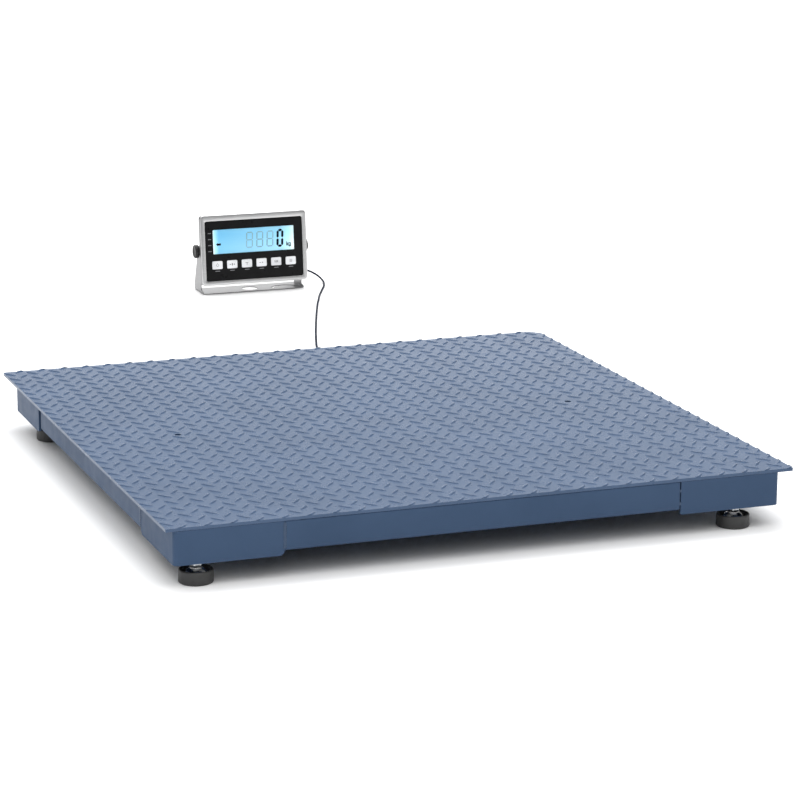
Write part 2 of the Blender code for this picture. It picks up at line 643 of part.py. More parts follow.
def case_gland(axis, plastic):
    """Cable gland on the rear of the casing."""
    height, depth = on_case(GLAND_UP, CASE_DEEP)
    bore = CABLE_RADIUS + GAP
    profile = [(bore, -0.006), (0.0060, -0.006), (0.0060, GAP), (0.0100, GAP), (0.0100, 0.006),
               (0.0085, 0.0065), (0.0085, 0.014), (0.0060, 0.0175), (0.0045, 0.026), (bore, 0.026)]
    bm = turned(profile, 16, (GLAND_X, depth, height), "Y", ring=True)
    add_object("case_gland", bm, plastic, parent=axis, smooth=35)


def cable_exit():
    """World place and direction where the cable leaves the casing's gland."""
    height, depth = on_case(GLAND_UP, CASE_DEEP + 0.026 + GAP)
    lean = Euler((-TILT, 0, 0)).to_matrix()
    pivot = at(IND_X, PIVOT_Y, PIVOT_Z)
    return pivot + lean @ Vector((GLAND_X, depth, height)), lean @ Vector((0, 1, 0))


def indicator_cable(look):
    """Cable from the indicator over the floor to the platform, its spare length in a tied coil."""
    start, out = cable_exit()
    lie = CABLE_RADIUS + GAP
    turn_x = COIL_X + COIL_MEAN + 1.5 * COIL_PITCH
    inside = turn_x - COIL_X - CABLE_RADIUS
    meet = math.sqrt((COIL_MEAN + COIL_BAND + GAP) ** 2 - inside ** 2) + 0.0008
    lead = [
        start, start + out * 0.012, at(1.018, 2.376, 0.0320), at(1.044, 2.380, 0.0285),
        at(1.066, 2.370, 0.0235), at(1.082, 2.345, 0.0150), at(1.086, 2.312, 0.0060),
        at(1.075, 2.275, lie), at(1.053, 2.227, lie), at(1.028, 2.172, lie), at(1.006, 2.117, lie),
        at(0.985, 2.064, lie), at(0.946, 1.958, lie), at(0.909, 1.854, lie), at(0.874, 1.753, lie),
        at(0.836, 1.636, lie), at(0.813, 1.552, lie), at(turn_x + 0.002, 1.475, lie),
        at(turn_x, COIL_Y + meet, lie),
    ]
    cable("indicator_cable", lead, CABLE_RADIUS, look, 0.0150)
    tail = [
        at(turn_x, COIL_Y - meet, lie), at(turn_x - 0.002, COIL_Y - 0.060, lie), at(0.770, 1.300, lie),
        at(0.735, 1.262, 0.004), at(0.690, 1.236, 0.014), at(0.655, 1.212, 0.036), at(OUTLET_X, 1.192, 0.060),
        at(OUTLET_X, FRAME_REAR + 0.0228, OUTLET_Z),
    ]
    cable("cable_tail", tail, CABLE_RADIUS, look, 0.0120)
    inner, outer, edge = COIL_MEAN - COIL_BAND, COIL_MEAN + COIL_BAND, 0.002
    bundle = [(inner + edge, GAP), (outer - edge, GAP), (outer, GAP + edge), (outer, COIL_HIGH - edge),
              (outer - edge, COIL_HIGH), (inner + edge, COIL_HIGH), (inner, COIL_HIGH - edge),
              (inner, GAP + edge)]
    add_object("cable_coil", turned(bundle, 32, at(COIL_X, COIL_Y, 0), ring=True), look, smooth=50)


# ---------------------------------------------------------------- whole object

def build():
    for old in list(bpy.data.objects):
        bpy.data.objects.remove(old, do_unlink=True)

    deck_paint = material("deck_paint", (0.235, 0.300, 0.420), 0.45)
    frame_paint = material("frame_paint", (0.070, 0.100, 0.170), 0.45)
    zinc = material("zinc", (0.60, 0.62, 0.64), 0.35, 1.0)
    alloy = material("load_cell_steel", (0.55, 0.56, 0.58), 0.30, 1.0)
    chrome = material("chrome", (0.80, 0.80, 0.80), 0.12, 1.0)
    rubber = material("rubber", (0.022, 0.022, 0.024), 0.70)
    inox = material("stainless", (0.62, 0.62, 0.61), 0.30, 1.0)
    black = material("black_plastic", (0.015, 0.015, 0.017), 0.45)
    panel = material("panel_film", (0.010, 0.010, 0.012), 0.35)
    key_film = material("key_film", (0.62, 0.64, 0.67), 0.40)
    glass = material("window", (0.60, 0.75, 0.90), 0.05)
    cells = material("lcd", (0.30, 0.55, 0.85), 0.20)
    board = material("board", (0.02, 0.16, 0.07), 0.50)
    box_grey = material("box_grey", (0.35, 0.36, 0.37), 0.55)
    sheath = material("cable_sheath", (0.018, 0.020, 0.040), 0.50)

    load_plate(deck_paint)
    lifting_nuts(zinc)
    centre_skirts(frame_paint)
    for corner in CORNERS:
        corner_skirt(corner, frame_paint)
        cell_bracket(corner, frame_paint)
        load_cell(corner, alloy)
        foot(corner, zinc, chrome, rubber)
    deck_ribs(frame_paint)
    junction_box(box_grey)
    cell_cables(sheath)
    cable_outlet(black)

    tilt_axis = add_empty("tilt_axis", at(IND_X, PIVOT_Y, PIVOT_Z), (-TILT, 0, 0))
    casing(tilt_axis, inox)
    front_panel(tilt_axis, panel, glass, cells, board)
    keys(tilt_axis, key_film)
    bracket(inox)
    knobs(tilt_axis, black)
    case_gland(tilt_axis, black)
    indicator_cable(sheath)


build()
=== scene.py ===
"""Pallet scale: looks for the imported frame. Metres, +Z up, +Y from the platform to the indicator."""
import json
import math

import bmesh
import bpy
import numpy as np
from mathutils import Matrix, Vector


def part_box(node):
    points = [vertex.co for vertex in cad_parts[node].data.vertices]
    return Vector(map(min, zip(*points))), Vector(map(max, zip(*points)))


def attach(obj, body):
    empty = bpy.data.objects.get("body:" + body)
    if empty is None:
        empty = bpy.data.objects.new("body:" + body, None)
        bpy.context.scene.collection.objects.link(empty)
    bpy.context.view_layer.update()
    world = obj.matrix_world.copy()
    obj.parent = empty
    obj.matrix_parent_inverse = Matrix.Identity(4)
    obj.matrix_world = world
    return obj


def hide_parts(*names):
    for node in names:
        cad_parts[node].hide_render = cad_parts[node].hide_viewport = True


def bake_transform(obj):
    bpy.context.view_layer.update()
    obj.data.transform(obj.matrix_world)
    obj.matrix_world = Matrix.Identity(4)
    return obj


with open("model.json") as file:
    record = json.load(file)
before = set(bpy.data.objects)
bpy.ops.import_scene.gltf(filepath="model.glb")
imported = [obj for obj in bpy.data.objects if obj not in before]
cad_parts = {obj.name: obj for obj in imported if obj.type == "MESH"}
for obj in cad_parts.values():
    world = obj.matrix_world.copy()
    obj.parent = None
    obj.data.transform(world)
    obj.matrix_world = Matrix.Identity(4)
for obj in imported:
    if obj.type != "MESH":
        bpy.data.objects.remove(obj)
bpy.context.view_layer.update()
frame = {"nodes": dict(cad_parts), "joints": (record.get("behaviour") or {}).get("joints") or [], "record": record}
PIVOT = Vector(next(joint["pos_m"] for joint in frame["joints"] if joint["name"] == "indicator_tilt"))
PLATE_LOW, PLATE_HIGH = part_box("load_plate")
FRONT = PLATE_LOW.y
LEFT = PLATE_LOW.x
CORNERS = ("fl", "fr", "rl", "rr")


def plan(x, y, z):
    """World place of a point given from the plate's left edge, its front edge and the floor."""
    return Vector((LEFT + x, FRONT + y, z))


def shown(name, data):
    """Object of some data, in the scene."""
    made = bpy.data.objects.new(name, data)
    bpy.context.scene.collection.objects.link(made)
    return made


# ---- camera

CAMERA_PLACE = (-1.9443, -5.8683, 1.5643)
CAMERA_TURN = 20.656                # degrees from +Y towards +X
CAMERA_DOWN = 14.144
CAMERA_ROLL = 0.392
LENS = 134.12                       # on a 36 mm sensor


def add_camera():
    """Camera at the photograph's viewing angle."""
    data = bpy.data.cameras.new("camera")
    data.lens = LENS
    data.sensor_width = 36.0
    data.clip_end = 60.0
    camera = shown("camera", data)
    turn = Matrix.Rotation(math.radians(-CAMERA_TURN), 4, "Z")
    pitch = Matrix.Rotation(math.radians(90 - CAMERA_DOWN), 4, "X")
    roll = Matrix.Rotation(math.radians(CAMERA_ROLL), 4, "Z")
    camera.matrix_world = Matrix.Translation(CAMERA_PLACE) @ turn @ pitch @ roll
    bpy.context.scene.camera = camera


# ---- materials

def map_range(tree, source, start, end, low, high):
    """Value between low and high as the source goes from start to end."""
    made = tree.nodes.new("ShaderNodeMapRange")
    for socket, value in (("From Min", start), ("From Max", end), ("To Min", low), ("To Max", high)):
        made.inputs[socket].default_value = value
    tree.links.new(source, made.inputs["Value"])
    return made.outputs["Result"]


class Look:
    """A node material on one Principled shader, with short calls for the nodes that feed it."""

    def __init__(self, name, colour, roughness, metallic=0.0):
        self.material = bpy.data.materials.new(name)
        self.material.use_nodes = True
        self.tree = self.material.node_tree
        self.shader = self.tree.nodes["Principled BSDF"]
        self.set("Base Color", (*colour, 1.0))
        self.set("Roughness", roughness)
        self.set("Metallic", metallic)
        self.colour = colour
        self.place = self.node("ShaderNodeTexCoord").outputs["Object"]

    def set(self, socket, value):
        self.shader.inputs[socket].default_value = value

    def node(self, kind, **values):
        made = self.tree.nodes.new(kind)
        for name, value in values.items():
            setattr(made, name, value)
        return made

    def link(self, source, target):
        self.tree.links.new(source, target)

    def stretched(self, scale):
        made = self.node("ShaderNodeMapping")
        self.link(self.place, made.inputs["Vector"])
        made.inputs["Scale"].default_value = scale
        return made.outputs["Vector"]

    def noise(self, scale, detail=3.0, stretch=None):
        made = self.node("ShaderNodeTexNoise")
        made.inputs["Scale"].default_value = scale
        made.inputs["Detail"].default_value = detail
        self.link(self.place if stretch is None else self.stretched(stretch), made.inputs["Vector"])
        return made.outputs["Fac"]

    def ramp(self, source, stops):
        """Colour ramp through (place, colour) stops."""
        made = self.node("ShaderNodeValToRGB")
        points = made.color_ramp.elements
        for point, (place, colour) in zip(points, (stops[0], stops[-1])):
            point.position = place
            point.color = (*colour, 1.0)
        for place, colour in stops[1:-1]:
            points.new(place).color = (*colour, 1.0)
        self.link(source, made.inputs["Fac"])
        return made.outputs["Color"]

    def tint(self, source, other, start=0.3, end=0.7):
        """Mix the base colour with another by a pattern."""
        mixed = self.ramp(source, ((start, self.colour), (end, other)))
        self.link(mixed, self.shader.inputs["Base Color"])

    def vary_roughness(self, source, low, high):
        """Roughness from low to high over the middle of a 0 to 1 pattern."""
        self.link(map_range(self.tree, source, 0.3, 0.7, low, high), self.shader.inputs["Roughness"])

    def bump(self, source, height):
        """Height in metres between the pattern's low and high."""
        made = self.node("ShaderNodeBump")
        made.inputs["Distance"].default_value = height
        self.link(source, made.inputs["Height"])
        self.link(made.outputs["Normal"], self.shader.inputs["Normal"])


def paint(name, colour, roughness, gloss):
    """Sprayed enamel: slight orange peel, patches of gloss and tone."""
    look = Look(name, colour, roughness)
    look.set("Specular IOR Level", gloss)
    look.tint(look.noise(7.0, 4.0), tuple(c * 1.10 + 0.002 for c in colour), 0.35, 0.65)
    look.vary_roughness(look.noise(45.0, 3.0), roughness - 0.04, roughness + 0.05)
    look.bump(look.noise(330.0, 2.0), 0.00010)
    return look.material


def brushed(name, colour, roughness, grain, depth=0.00002):
    """Brushed sheet: fine scratches along one axis, given by the grain's scale on X, Y and Z."""
    look = Look(name, colour, roughness, 1.0)
    scratches = look.noise(1.0, 4.0, grain)
    look.tint(scratches, tuple(c * 0.86 for c in colour), 0.35, 0.65)
    look.vary_roughness(scratches, roughness - 0.06, roughness + 0.10)
    look.bump(scratches, depth)
    return look.material


def plated(name, colour, roughness):
    """Zinc or chrome plate with a little cloudiness."""
    look = Look(name, colour, roughness, 1.0)
    look.vary_roughness(look.noise(90.0, 4.0), roughness * 0.8, roughness * 1.3)
    look.tint(look.noise(35.0, 3.0), tuple(c * 0.90 for c in colour))
    look.bump(look.noise(600.0, 2.0), 0.00001)
    return look.material


def moulded(name, colour, roughness, grain=900.0, depth=0.00004, gloss=0.5):
    """Plastic or rubber with a fine moulded grain."""
    look = Look(name, colour, roughness)
    look.set("Specular IOR Level", gloss)
    look.tint(look.noise(28.0, 4.0), tuple(c * 1.35 + 0.002 for c in colour))
    look.vary_roughness(look.noise(60.0, 3.0), roughness - 0.06, roughness + 0.08)
    look.bump(look.noise(grain, 2.0), depth)
    return look.material


def lcd_material():
    """Lit display: blue, glowing white at its two ends and paler towards its lower edge."""
    look = Look("lcd_lit", (0.30, 0.58, 0.78), 0.35)
    axes = look.node("ShaderNodeSeparateXYZ")
    look.link(look.node("ShaderNodeTexCoord").outputs["Generated"], axes.inputs["Vector"])
    along = look.ramp(axes.outputs["X"], (
        (0.0, (0.90, 1.0, 1.0)), (0.02, (0.50, 0.84, 0.94)), (0.07, (0.22, 0.54, 0.76)),
        (0.45, (0.28, 0.58, 0.76)), (0.82, (0.36, 0.66, 0.81)), (0.94, (0.55, 0.84, 0.92)),
        (1.0, (0.90, 1.0, 1.0)),
    ))
    up = look.ramp(axes.outputs["Z"], (
        (0.0, (1.0, 1.0, 1.0)), (0.30, (0.95, 0.98, 1.0)), (0.80, (0.72, 0.86, 0.93)),
        (1.0, (0.80, 0.90, 0.96)),
    ))
    mix = look.node("ShaderNodeMix", data_type="RGBA", blend_type="MULTIPLY")
    mix.inputs["Factor"].default_value = 1.0
    look.link(along, mix.inputs["A"])
    look.link(up, mix.inputs["B"])
    look.link(mix.outputs["Result"], look.shader.inputs["Base Color"])
    look.link(mix.outputs["Result"], look.shader.inputs["Emission Color"])
    look.set("Emission Strength", 0.42)
    look.set("Specular IOR Level", 0.1)
    return look.material


def window_material():
    """Clear film of the window, hardly bending the light."""
    look = Look("window_clear", (1.0, 1.0, 1.0), 0.03)
    look.set("Transmission Weight", 1.0)
    look.set("IOR", 1.02)
    look.vary_roughness(look.noise(20.0, 2.0), 0.02, 0.05)
    return look.material


def board_material():
    """Green board with faint copper runs."""
    look = Look("board_green", (0.010, 0.090, 0.035), 0.35)
    runs = look.node("ShaderNodeTexWave")
    runs.inputs["Scale"].default_value = 120.0
    runs.inputs["Distortion"].default_value = 3.0
    look.link(look.place, runs.inputs["Vector"])
    look.tint(runs.outputs["Fac"], (0.030, 0.160, 0.060), 0.7, 0.8)
    return look.material


PAINT = (0.049, 0.086, 0.158)
LOOKS = {
    "deck_paint": paint("deck_enamel", PAINT, 0.29, 0.24),
    # Frame enamel: the deck's own blue paint, darkened to 0.84 as painted shade on the upright skirts and corner
    # pieces.
    "frame_paint": paint("frame_enamel_painted_shade", tuple(c * 0.84 for c in PAINT), 0.45, 0.08),
    "load_cell_steel": brushed("cell_steel", (0.56, 0.57, 0.58), 0.28, (60.0, 900.0, 900.0)),
    "zinc": plated("zinc_plate", (0.58, 0.60, 0.62), 0.30),
    "chrome": plated("chrome_plate", (0.86, 0.86, 0.86), 0.18),
    "rubber": moulded("black_rubber", (0.030, 0.030, 0.030), 0.55),
    "box_grey": moulded("grey_abs", (0.30, 0.31, 0.32), 0.50),
    "cable_sheath": moulded("navy_sheath", (0.003, 0.006, 0.018), 0.60, 1500.0, 0.00002, 0.1),
    "black_plastic": moulded("black_nylon", (0.012, 0.012, 0.013), 0.45, gloss=0.3),
    "stainless": brushed("stainless_brushed", (0.62, 0.62, 0.62), 0.34, (8.0, 1500.0, 1500.0), 0.000003),
    "panel_film": moulded("black_film", (0.004, 0.004, 0.0045), 0.32, 2500.0, 0.00001, 0.15),
    "key_film": moulded("grey_key", (0.70, 0.71, 0.73), 0.38, 2500.0, 0.00001),
    "window": window_material(),
    "lcd": lcd_material(),
    "board": board_material(),
}
PRINT_GREY = moulded("print_grey", (0.16, 0.16, 0.17), 0.45)
PRINT_DARK = moulded("print_dark", (0.10, 0.10, 0.11), 0.40)
SEGMENT_ON = moulded("segment_on", (0.004, 0.007, 0.016), 0.40, gloss=0.1)
SEGMENT_GHOST = moulded("segment_ghost", (0.24, 0.44, 0.54), 0.40, gloss=0.1)
DULL_STEEL = brushed("stainless_dull", (0.27, 0.27, 0.275), 0.36, (8.0, 1500.0, 1500.0), 0.000003)
WELD = paint("weld_enamel", tuple(c * 0.72 for c in PAINT), 0.34, 0.3)


# ---- mesh tools

def add_piece(name, bm, slot, body, look=None, smooth=30, bevel=0.0, stands_for=()):
    """Make a piece of a bmesh in world coordinates, riding on a body and finished from a record slot."""
    bmesh.ops.recalc_face_normals(bm, faces=bm.faces)
    mesh = bpy.data.meshes.new(name)
    bm.to_mesh(mesh)
    bm.free()
    piece = shown(name, mesh)
    mesh.materials.append(look or LOOKS[slot])
    mesh.shade_smooth()
    mesh.set_sharp_from_angle(angle=math.radians(smooth))
    if bevel:
        round_edges(piece, bevel).harden_normals = True
    if body:
        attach(piece, body)
    if stands_for:
        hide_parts(*stands_for)
    return piece


def round_edges(piece, width):
    """Bevel on a piece's sharp edges."""
    bevel = piece.modifiers.new("edges", "BEVEL")
    bevel.width = width
    bevel.segments = 2
    bevel.limit_method = "ANGLE"
    bevel.angle_limit = math.radians(40)
    return bevel


def rounded_outline(corners, steps=6):
    """Outline through (a, b, radius) corners, each rounded by its radius."""
    points = []
    count = len(corners)
    for i, (a, b, radius) in enumerate(corners):
        here = Vector((a, b))
        if radius <= 0:
            points.append((a, b))
            continue
        back = (Vector(corners[i - 1][:2]) - here).normalized()
        ahead = (Vector(corners[(i + 1) % count][:2]) - here).normalized()
        half = back.angle(ahead) / 2
        centre = here + (back + ahead).normalized() * radius / math.sin(half)
        first = here + back * radius / math.tan(half) - centre
        last = here + ahead * radius / math.tan(half) - centre
        turn = first.angle_signed(last)
        for k in range(steps + 1):
            spoke = first.copy()
            spoke.rotate(Matrix.Rotation(-turn * k / steps, 2))
            points.append(tuple(centre + spoke))
    return points


def box_outline(a0, a1, b0, b1, radius, steps=6):
    """Outline of a rounded rectangle between its sides."""
    return rounded_outline([(a0, b0, radius), (a1, b0, radius), (a1, b1, radius), (a0, b1, radius)], steps)


def swept(outline, low, high, along="Z"):
    """bmesh of an outline extruded along one axis; its two numbers are the other two axes in order."""
    bm = bmesh.new()
    place = {
        "Z": lambda a, b: (a, b, low),
        "Y": lambda a, b: (a, low, b),
        "X": lambda a, b: (low, a, b),
    }[along]
    step = {"Z": (0, 0, high - low), "Y": (0, high - low, 0), "X": (high - low, 0, 0)}[along]
    face = bm.faces.new([bm.verts.new(place(a, b)) for a, b in outline])
    grown = bmesh.ops.extrude_face_region(bm, geom=[face])
    moved = [item for item in grown["geom"] if isinstance(item, bmesh.types.BMVert)]
    bmesh.ops.translate(bm, verts=moved, vec=step)
    return bm


def turned(profile, steps, centre=(0, 0, 0), ring=False, wobble=None):
    """bmesh of a (radius, height) profile turned about Z; wobble may change a point's radius."""
    bm = bmesh.new()
    loops = []
    for radius, height in profile:
        if radius < 1e-7:
            loops.append([bm.verts.new((0, 0, height))])
            continue
        loop = []
        for k in range(steps):
            angle = 2 * math.pi * k / steps
            reach = wobble(angle, radius, height) if wobble else radius
            loop.append(bm.verts.new((reach * math.cos(angle), reach * math.sin(angle), height)))
        loops.append(loop)
    pairs = list(zip(loops, loops[1:]))
    if ring:
        pairs.append((loops[-1], loops[0]))
    for one, two in pairs:
        for k in range(steps):
            n = (k + 1) % steps
            corners = [one[k % len(one)], one[n % len(one)], two[n % len(two)], two[k % len(two)]]
            unique = list(dict.fromkeys(corners))
            if len(unique) > 2:
                bm.faces.new(unique)
    bmesh.ops.translate(bm, verts=bm.verts, vec=centre)
    return bm


def skinned(bm, loops, ring=False):
    """Join loops of vertices by faces, and cap both ends unless the last loop meets the first."""
    pairs = list(zip(loops, loops[1:]))
    if ring:
        pairs.append((loops[-1], loops[0]))
    for one, two in pairs:
        for k in range(len(one)):
            n = (k + 1) % len(one)
            bm.faces.new((one[k], one[n], two[n], two[k]))
    if not ring:
        bm.faces.new(loops[0])
        bm.faces.new(loops[-1])
    return bm


def aimed(bm, quarters, axis, place):
    """Turn a bmesh by quarter turns about an axis through the origin, then move it to its place."""
    turn = Matrix.Rotation(quarters * math.pi / 2, 3, axis)
    bmesh.ops.rotate(bm, verts=bm.verts, cent=(0, 0, 0), matrix=turn)
    bmesh.ops.translate(bm, verts=bm.verts, vec=place)
    return bm


def bore(radius, half_length, steps=32, centre=(0, 0, 0)):
    """bmesh of a round cutter along Z."""
    outline = [(0, -half_length), (radius, -half_length), (radius, half_length), (0, half_length)]
    return turned(outline, steps, centre)


def hexagon_reach(angle, radius, flat):
    """Radius at an angle, cut back to a hexagon whose flats are this far from the axis."""
    return min(radius, flat / math.cos((angle % (math.pi / 3)) - math.pi / 6))


def lofted(rings, closed=False, steps=6):
    """bmesh of a skin over rounded rectangles: (half width, half height, radius, mid height, y)."""
    bm = bmesh.new()
    loops = []
    for half_w, half_h, radius, mid, y in rings:
        outline = box_outline(-half_w, half_w, mid - half_h, mid + half_h, radius, steps)
        loops.append([bm.verts.new((a, y, b)) for a, b in outline])
    return skinned(bm, loops, closed)


def merged(meshes):
    """One bmesh of several."""
    bm = bmesh.new()
    for part in meshes:
        copy = bpy.data.meshes.new("copy")
        part.to_mesh(copy)
        part.free()
        bm.from_mesh(copy)
        bpy.data.meshes.remove(copy)
    return bm


def smooth_route(points, spacing):
    """Evenly spaced points on a Catmull-Rom curve through the route's own points."""
    ends = [points[0] * 2 - points[1], *points, points[-1] * 2 - points[-2]]
    dense = []
    for i in range(len(points) - 1):
        p0, p1, p2, p3 = ends[i:i + 4]
        for k in range(40):
            t = k / 40
            dense.append(0.5 * (2 * p1 + (p2 - p0) * t + (2 * p0 - 5 * p1 + 4 * p2 - p3) * t ** 2
                                + (3 * p1 - p0 - 3 * p2 + p3) * t ** 3))
    dense.append(points[-1])
    far = np.concatenate([[0.0], np.cumsum([(b - a).length for a, b in zip(dense, dense[1:])])])
    wanted = np.linspace(0, far[-1], max(2, round(far[-1] / spacing)) + 1)
    table = np.array([tuple(p) for p in dense])
    return [Vector([np.interp(w, far, table[:, axis]) for axis in range(3)]) for w in wanted]


def tube(points, radius, sides=16):
    """bmesh of a round tube along points, with closed ends."""
    bm = bmesh.new()
    loops = []
    across = None
    for i, point in enumerate(points):
        ahead = (points[min(i + 1, len(points) - 1)] - points[max(i - 1, 0)]).normalized()
        if across is None:
            across = ahead.orthogonal().normalized()
        across = (across - ahead * across.dot(ahead)).normalized()
        other = ahead.cross(across)
        loops.append([bm.verts.new(point + radius * (across * math.cos(a) + other * math.sin(a)))
                      for a in (2 * math.pi * k / sides for k in range(sides))])
    return skinned(bm, loops)


# ---- cable

CABLE_RADIUS = 0.0025
CABLE_LIE = CABLE_RADIUS + 0.0003   # centre line's height where the cable lies on the floor
COIL_X, COIL_Y = 0.760, 1.400       # coil's middle, as plan() takes it
COIL_MEAN, COIL_PITCH = 0.0275, 0.0052
COIL_OUTER = COIL_MEAN + 1.5 * COIL_PITCH
COIL_ABREAST = 4                    # turns side by side in each of two layers


def coil_turns():
    """Turns of the coil: spiral in on the floor, then out on top, ending where they began."""
    points = []
    steps = 24
    total = 2 * COIL_ABREAST * steps
    for k in range(total + 1):
        turn = k / steps
        inwards = turn if turn <= COIL_ABREAST else 2 * COIL_ABREAST - turn
        radius = COIL_OUTER - COIL_PITCH * min(inwards, COIL_ABREAST - 1)
        rise = min(1.0, max(0.0, (turn - COIL_ABREAST + 0.5)))
        angle = -2 * math.pi * turn
        points.append(plan(COIL_X + radius * math.cos(angle), COIL_Y + radius * math.sin(angle),
                           CABLE_LIE + COIL_PITCH * rise))
    return points


def add_cable():
    """Cable from the casing's gland over the floor and round its coil to the platform's rear skirt."""
    lie = CABLE_LIE
    lean = Matrix.Rotation(-CASE_LEAN, 3, "X")
    exit_place = PIVOT + lean @ Vector((GLAND_X, CASE_DEEP + GLAND_LONG - PIVOT_IN, GLAND_UP - PIVOT_UP))
    out = lean @ Vector((0, 1, 0))
    turn_x = COIL_X + COIL_OUTER
    lead = [
        exit_place, exit_place + out * 0.012, plan(1.018, 2.376, 0.0320), plan(1.044, 2.380, 0.0285),
        plan(1.066, 2.370, 0.0235), plan(1.082, 2.345, 0.0150), plan(1.086, 2.312, 0.0060),
        plan(1.075, 2.275, lie), plan(1.053, 2.227, lie), plan(1.028, 2.172, lie), plan(1.006, 2.117, lie),
        plan(0.985, 2.064, lie), plan(0.946, 1.958, lie), plan(0.909, 1.854, lie), plan(0.874, 1.753, lie),
        plan(0.836, 1.636, lie), plan(0.813, 1.552, lie), plan(turn_x + 0.002, 1.475, lie),
        plan(turn_x, COIL_Y + 0.030, lie),
    ]
    tail = [
        plan(turn_x, COIL_Y - 0.030, lie + 0.0025), plan(turn_x - 0.002, COIL_Y - 0.060, lie),
        plan(0.770, 1.300, lie), plan(0.735, 1.262, 0.004), plan(0.690, 1.236, 0.014),
        plan(0.655, 1.212, 0.036), plan(0.640, 1.192, 0.060), plan(0.640, 1.1708, 0.070),
    ]
    route = smooth_route(lead + coil_turns() + tail, 0.0035)
    cable = add_piece("indicator_lead", tube(route, CABLE_RADIUS, 14), "cable_sheath", None, smooth=60,
                      stands_for=("indicator_cable", "cable_coil", "cable_tail"))
    tie = add_coil_tie()
    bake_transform(cable)


def add_coil_tie():
    """Hook-and-loop strap round the turns on the coil's far side."""
    half, low, high = 0.0112, 0.0004, 0.0118
    outline = box_outline(-half, half, low, high, 0.003)
    inner = box_outline(-half + 0.0008, half - 0.0008, low + 0.0006, high - 0.0008, 0.0024)
    bm = bmesh.new()
    edges = ((outline, -0.006), (inner, -0.006), (inner, 0.006), (outline, 0.006))
    skinned(bm, [[bm.verts.new((a, y, b)) for a, b in shape] for shape, y in edges], ring=True)
    bmesh.ops.translate(bm, verts=bm.verts, vec=plan(COIL_X - COIL_MEAN, COIL_Y, 0))
    return add_piece("coil_tie", bm, "black_plastic", "platform")


# ---- load plate

LENS_STEP_X, LENS_STEP_Y = 0.0466, 0.0425
LENS_FIRST = (0.0326, 0.0075)       # first "/" lens, from the plate's left and front edges
LENS_LONG, LENS_WIDE, LENS_HIGH = 0.0335, 0.0068, 0.0021
LENS_ANGLE = math.radians(49)
CLIPPED_CORNER = 0.022
LIFT_HOLE_RADIUS = 0.0065


def lens_shape():
    """Points and faces of one tread lens, along X, closed underneath."""
    along = np.array([-1.0, -0.93, -0.78, -0.55, -0.28, 0.0, 0.28, 0.55, 0.78, 0.93, 1.0])
    across = np.array([-1.0, -0.85, -0.60, 0.0, 0.60, 0.85, 1.0])
    rise = np.array([0.0, 0.25, 0.78, 1.0, 0.78, 0.25, 0.0])
    points = []
    for u in along:
        width = LENS_WIDE / 2 * max(1e-4, (1 - abs(u) ** 2.2)) ** 0.75
        height = LENS_HIGH * (1 - abs(u) ** 3.5)
        for v, h in zip(across, rise):
            points.append((u * LENS_LONG / 2, v * width, h * height - 0.0002))
    rows, columns = len(along), len(across)
    faces = [(i * columns + j, (i + 1) * columns + j, (i + 1) * columns + j + 1, i * columns + j + 1)
             for i in range(rows - 1) for j in range(columns - 1)]
    rim = [i * columns for i in range(rows - 1, -1, -1)] + [i * columns + columns - 1 for i in range(rows)]
    return np.array(points), faces, rim


def lens_places():
    """Places and directions of all lenses: one lattice of each hand, half a step apart both ways."""
    side = PLATE_HIGH.x - PLATE_LOW.x
    for hand, shift in ((1, 0.0), (-1, 0.5)):
        columns = range(-1, int(side / LENS_STEP_X) + 2)
        rows = range(-1, int(side / LENS_STEP_Y) + 2)
        for i in columns:
            for j in rows:
                x = LENS_FIRST[0] + (i + shift) * LENS_STEP_X
                y = LENS_FIRST[1] + (j + shift) * LENS_STEP_Y
                yield x, y, hand


def lenses(holes):
    """All lenses as one mesh's points and faces, cut off at the plate's edges."""
    shape, faces, rim = lens_shape()
    side = PLATE_HIGH.x - PLATE_LOW.x
    inset = 0.0006
    all_points, all_faces = [], []
    for x, y, hand in lens_places():
        reach = LENS_LONG / 2 - 0.004
        if not (-reach < x < side + reach and -reach < y < side + reach):
            continue
        if (side - x) + (side - y) < CLIPPED_CORNER + 0.020:
            continue
        if any(math.hypot(x - hx, y - hy) < LIFT_HOLE_RADIUS + 0.008 for hx, hy in holes):
            continue
        turn = LENS_ANGLE if hand > 0 else math.pi - LENS_ANGLE
        c, s = math.cos(turn), math.sin(turn)
        px = np.clip(x + c * shape[:, 0] - s * shape[:, 1], inset, side - inset)
        py = np.clip(y + s * shape[:, 0] + c * shape[:, 1], inset, side - inset)
        start = len(all_points)
        all_points.extend(zip(px + LEFT, py + FRONT, shape[:, 2] + PLATE_HIGH.z))
        all_faces.extend([tuple(start + k for k in face) for face in faces])
        all_faces.append(tuple(start + k for k in rim))
    return all_points, all_faces


def add_load_plate():
    """Rolled tread plate with its lenses, rounded edges and two lifting holes."""
    half = (PLATE_HIGH.x - PLATE_LOW.x) / 2
    front, rear = PLATE_LOW.y, PLATE_HIGH.y
    outline = rounded_outline([
        (-half, front, 0.002), (half, front, 0.003), (half, rear - CLIPPED_CORNER, 0.002),
        (half - CLIPPED_CORNER, rear, 0.002), (-half, rear, 0.002),
    ], 5)
    plate = add_piece("tread_plate", swept(outline, PLATE_LOW.z, PLATE_HIGH.z), "deck_paint", "platform",
                      stands_for=("load_plate",))
    hole_plan = []
    for side in ("left", "right"):
        low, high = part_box(f"lifting_nut_{side}")
        centre = (low + high) / 2
        hole_plan.append((centre.x - LEFT, centre.y - FRONT))
        place = (centre.x, centre.y, PLATE_HIGH.z)
        punch(plate, bore(LIFT_HOLE_RADIUS, 0.02, centre=place), f"lift_bore_{side}")
    round_edges(plate, 0.0004)
    bake_modifiers(plate)
    points, faces = lenses(hole_plan)
    add_mesh_to(plate, points, faces)


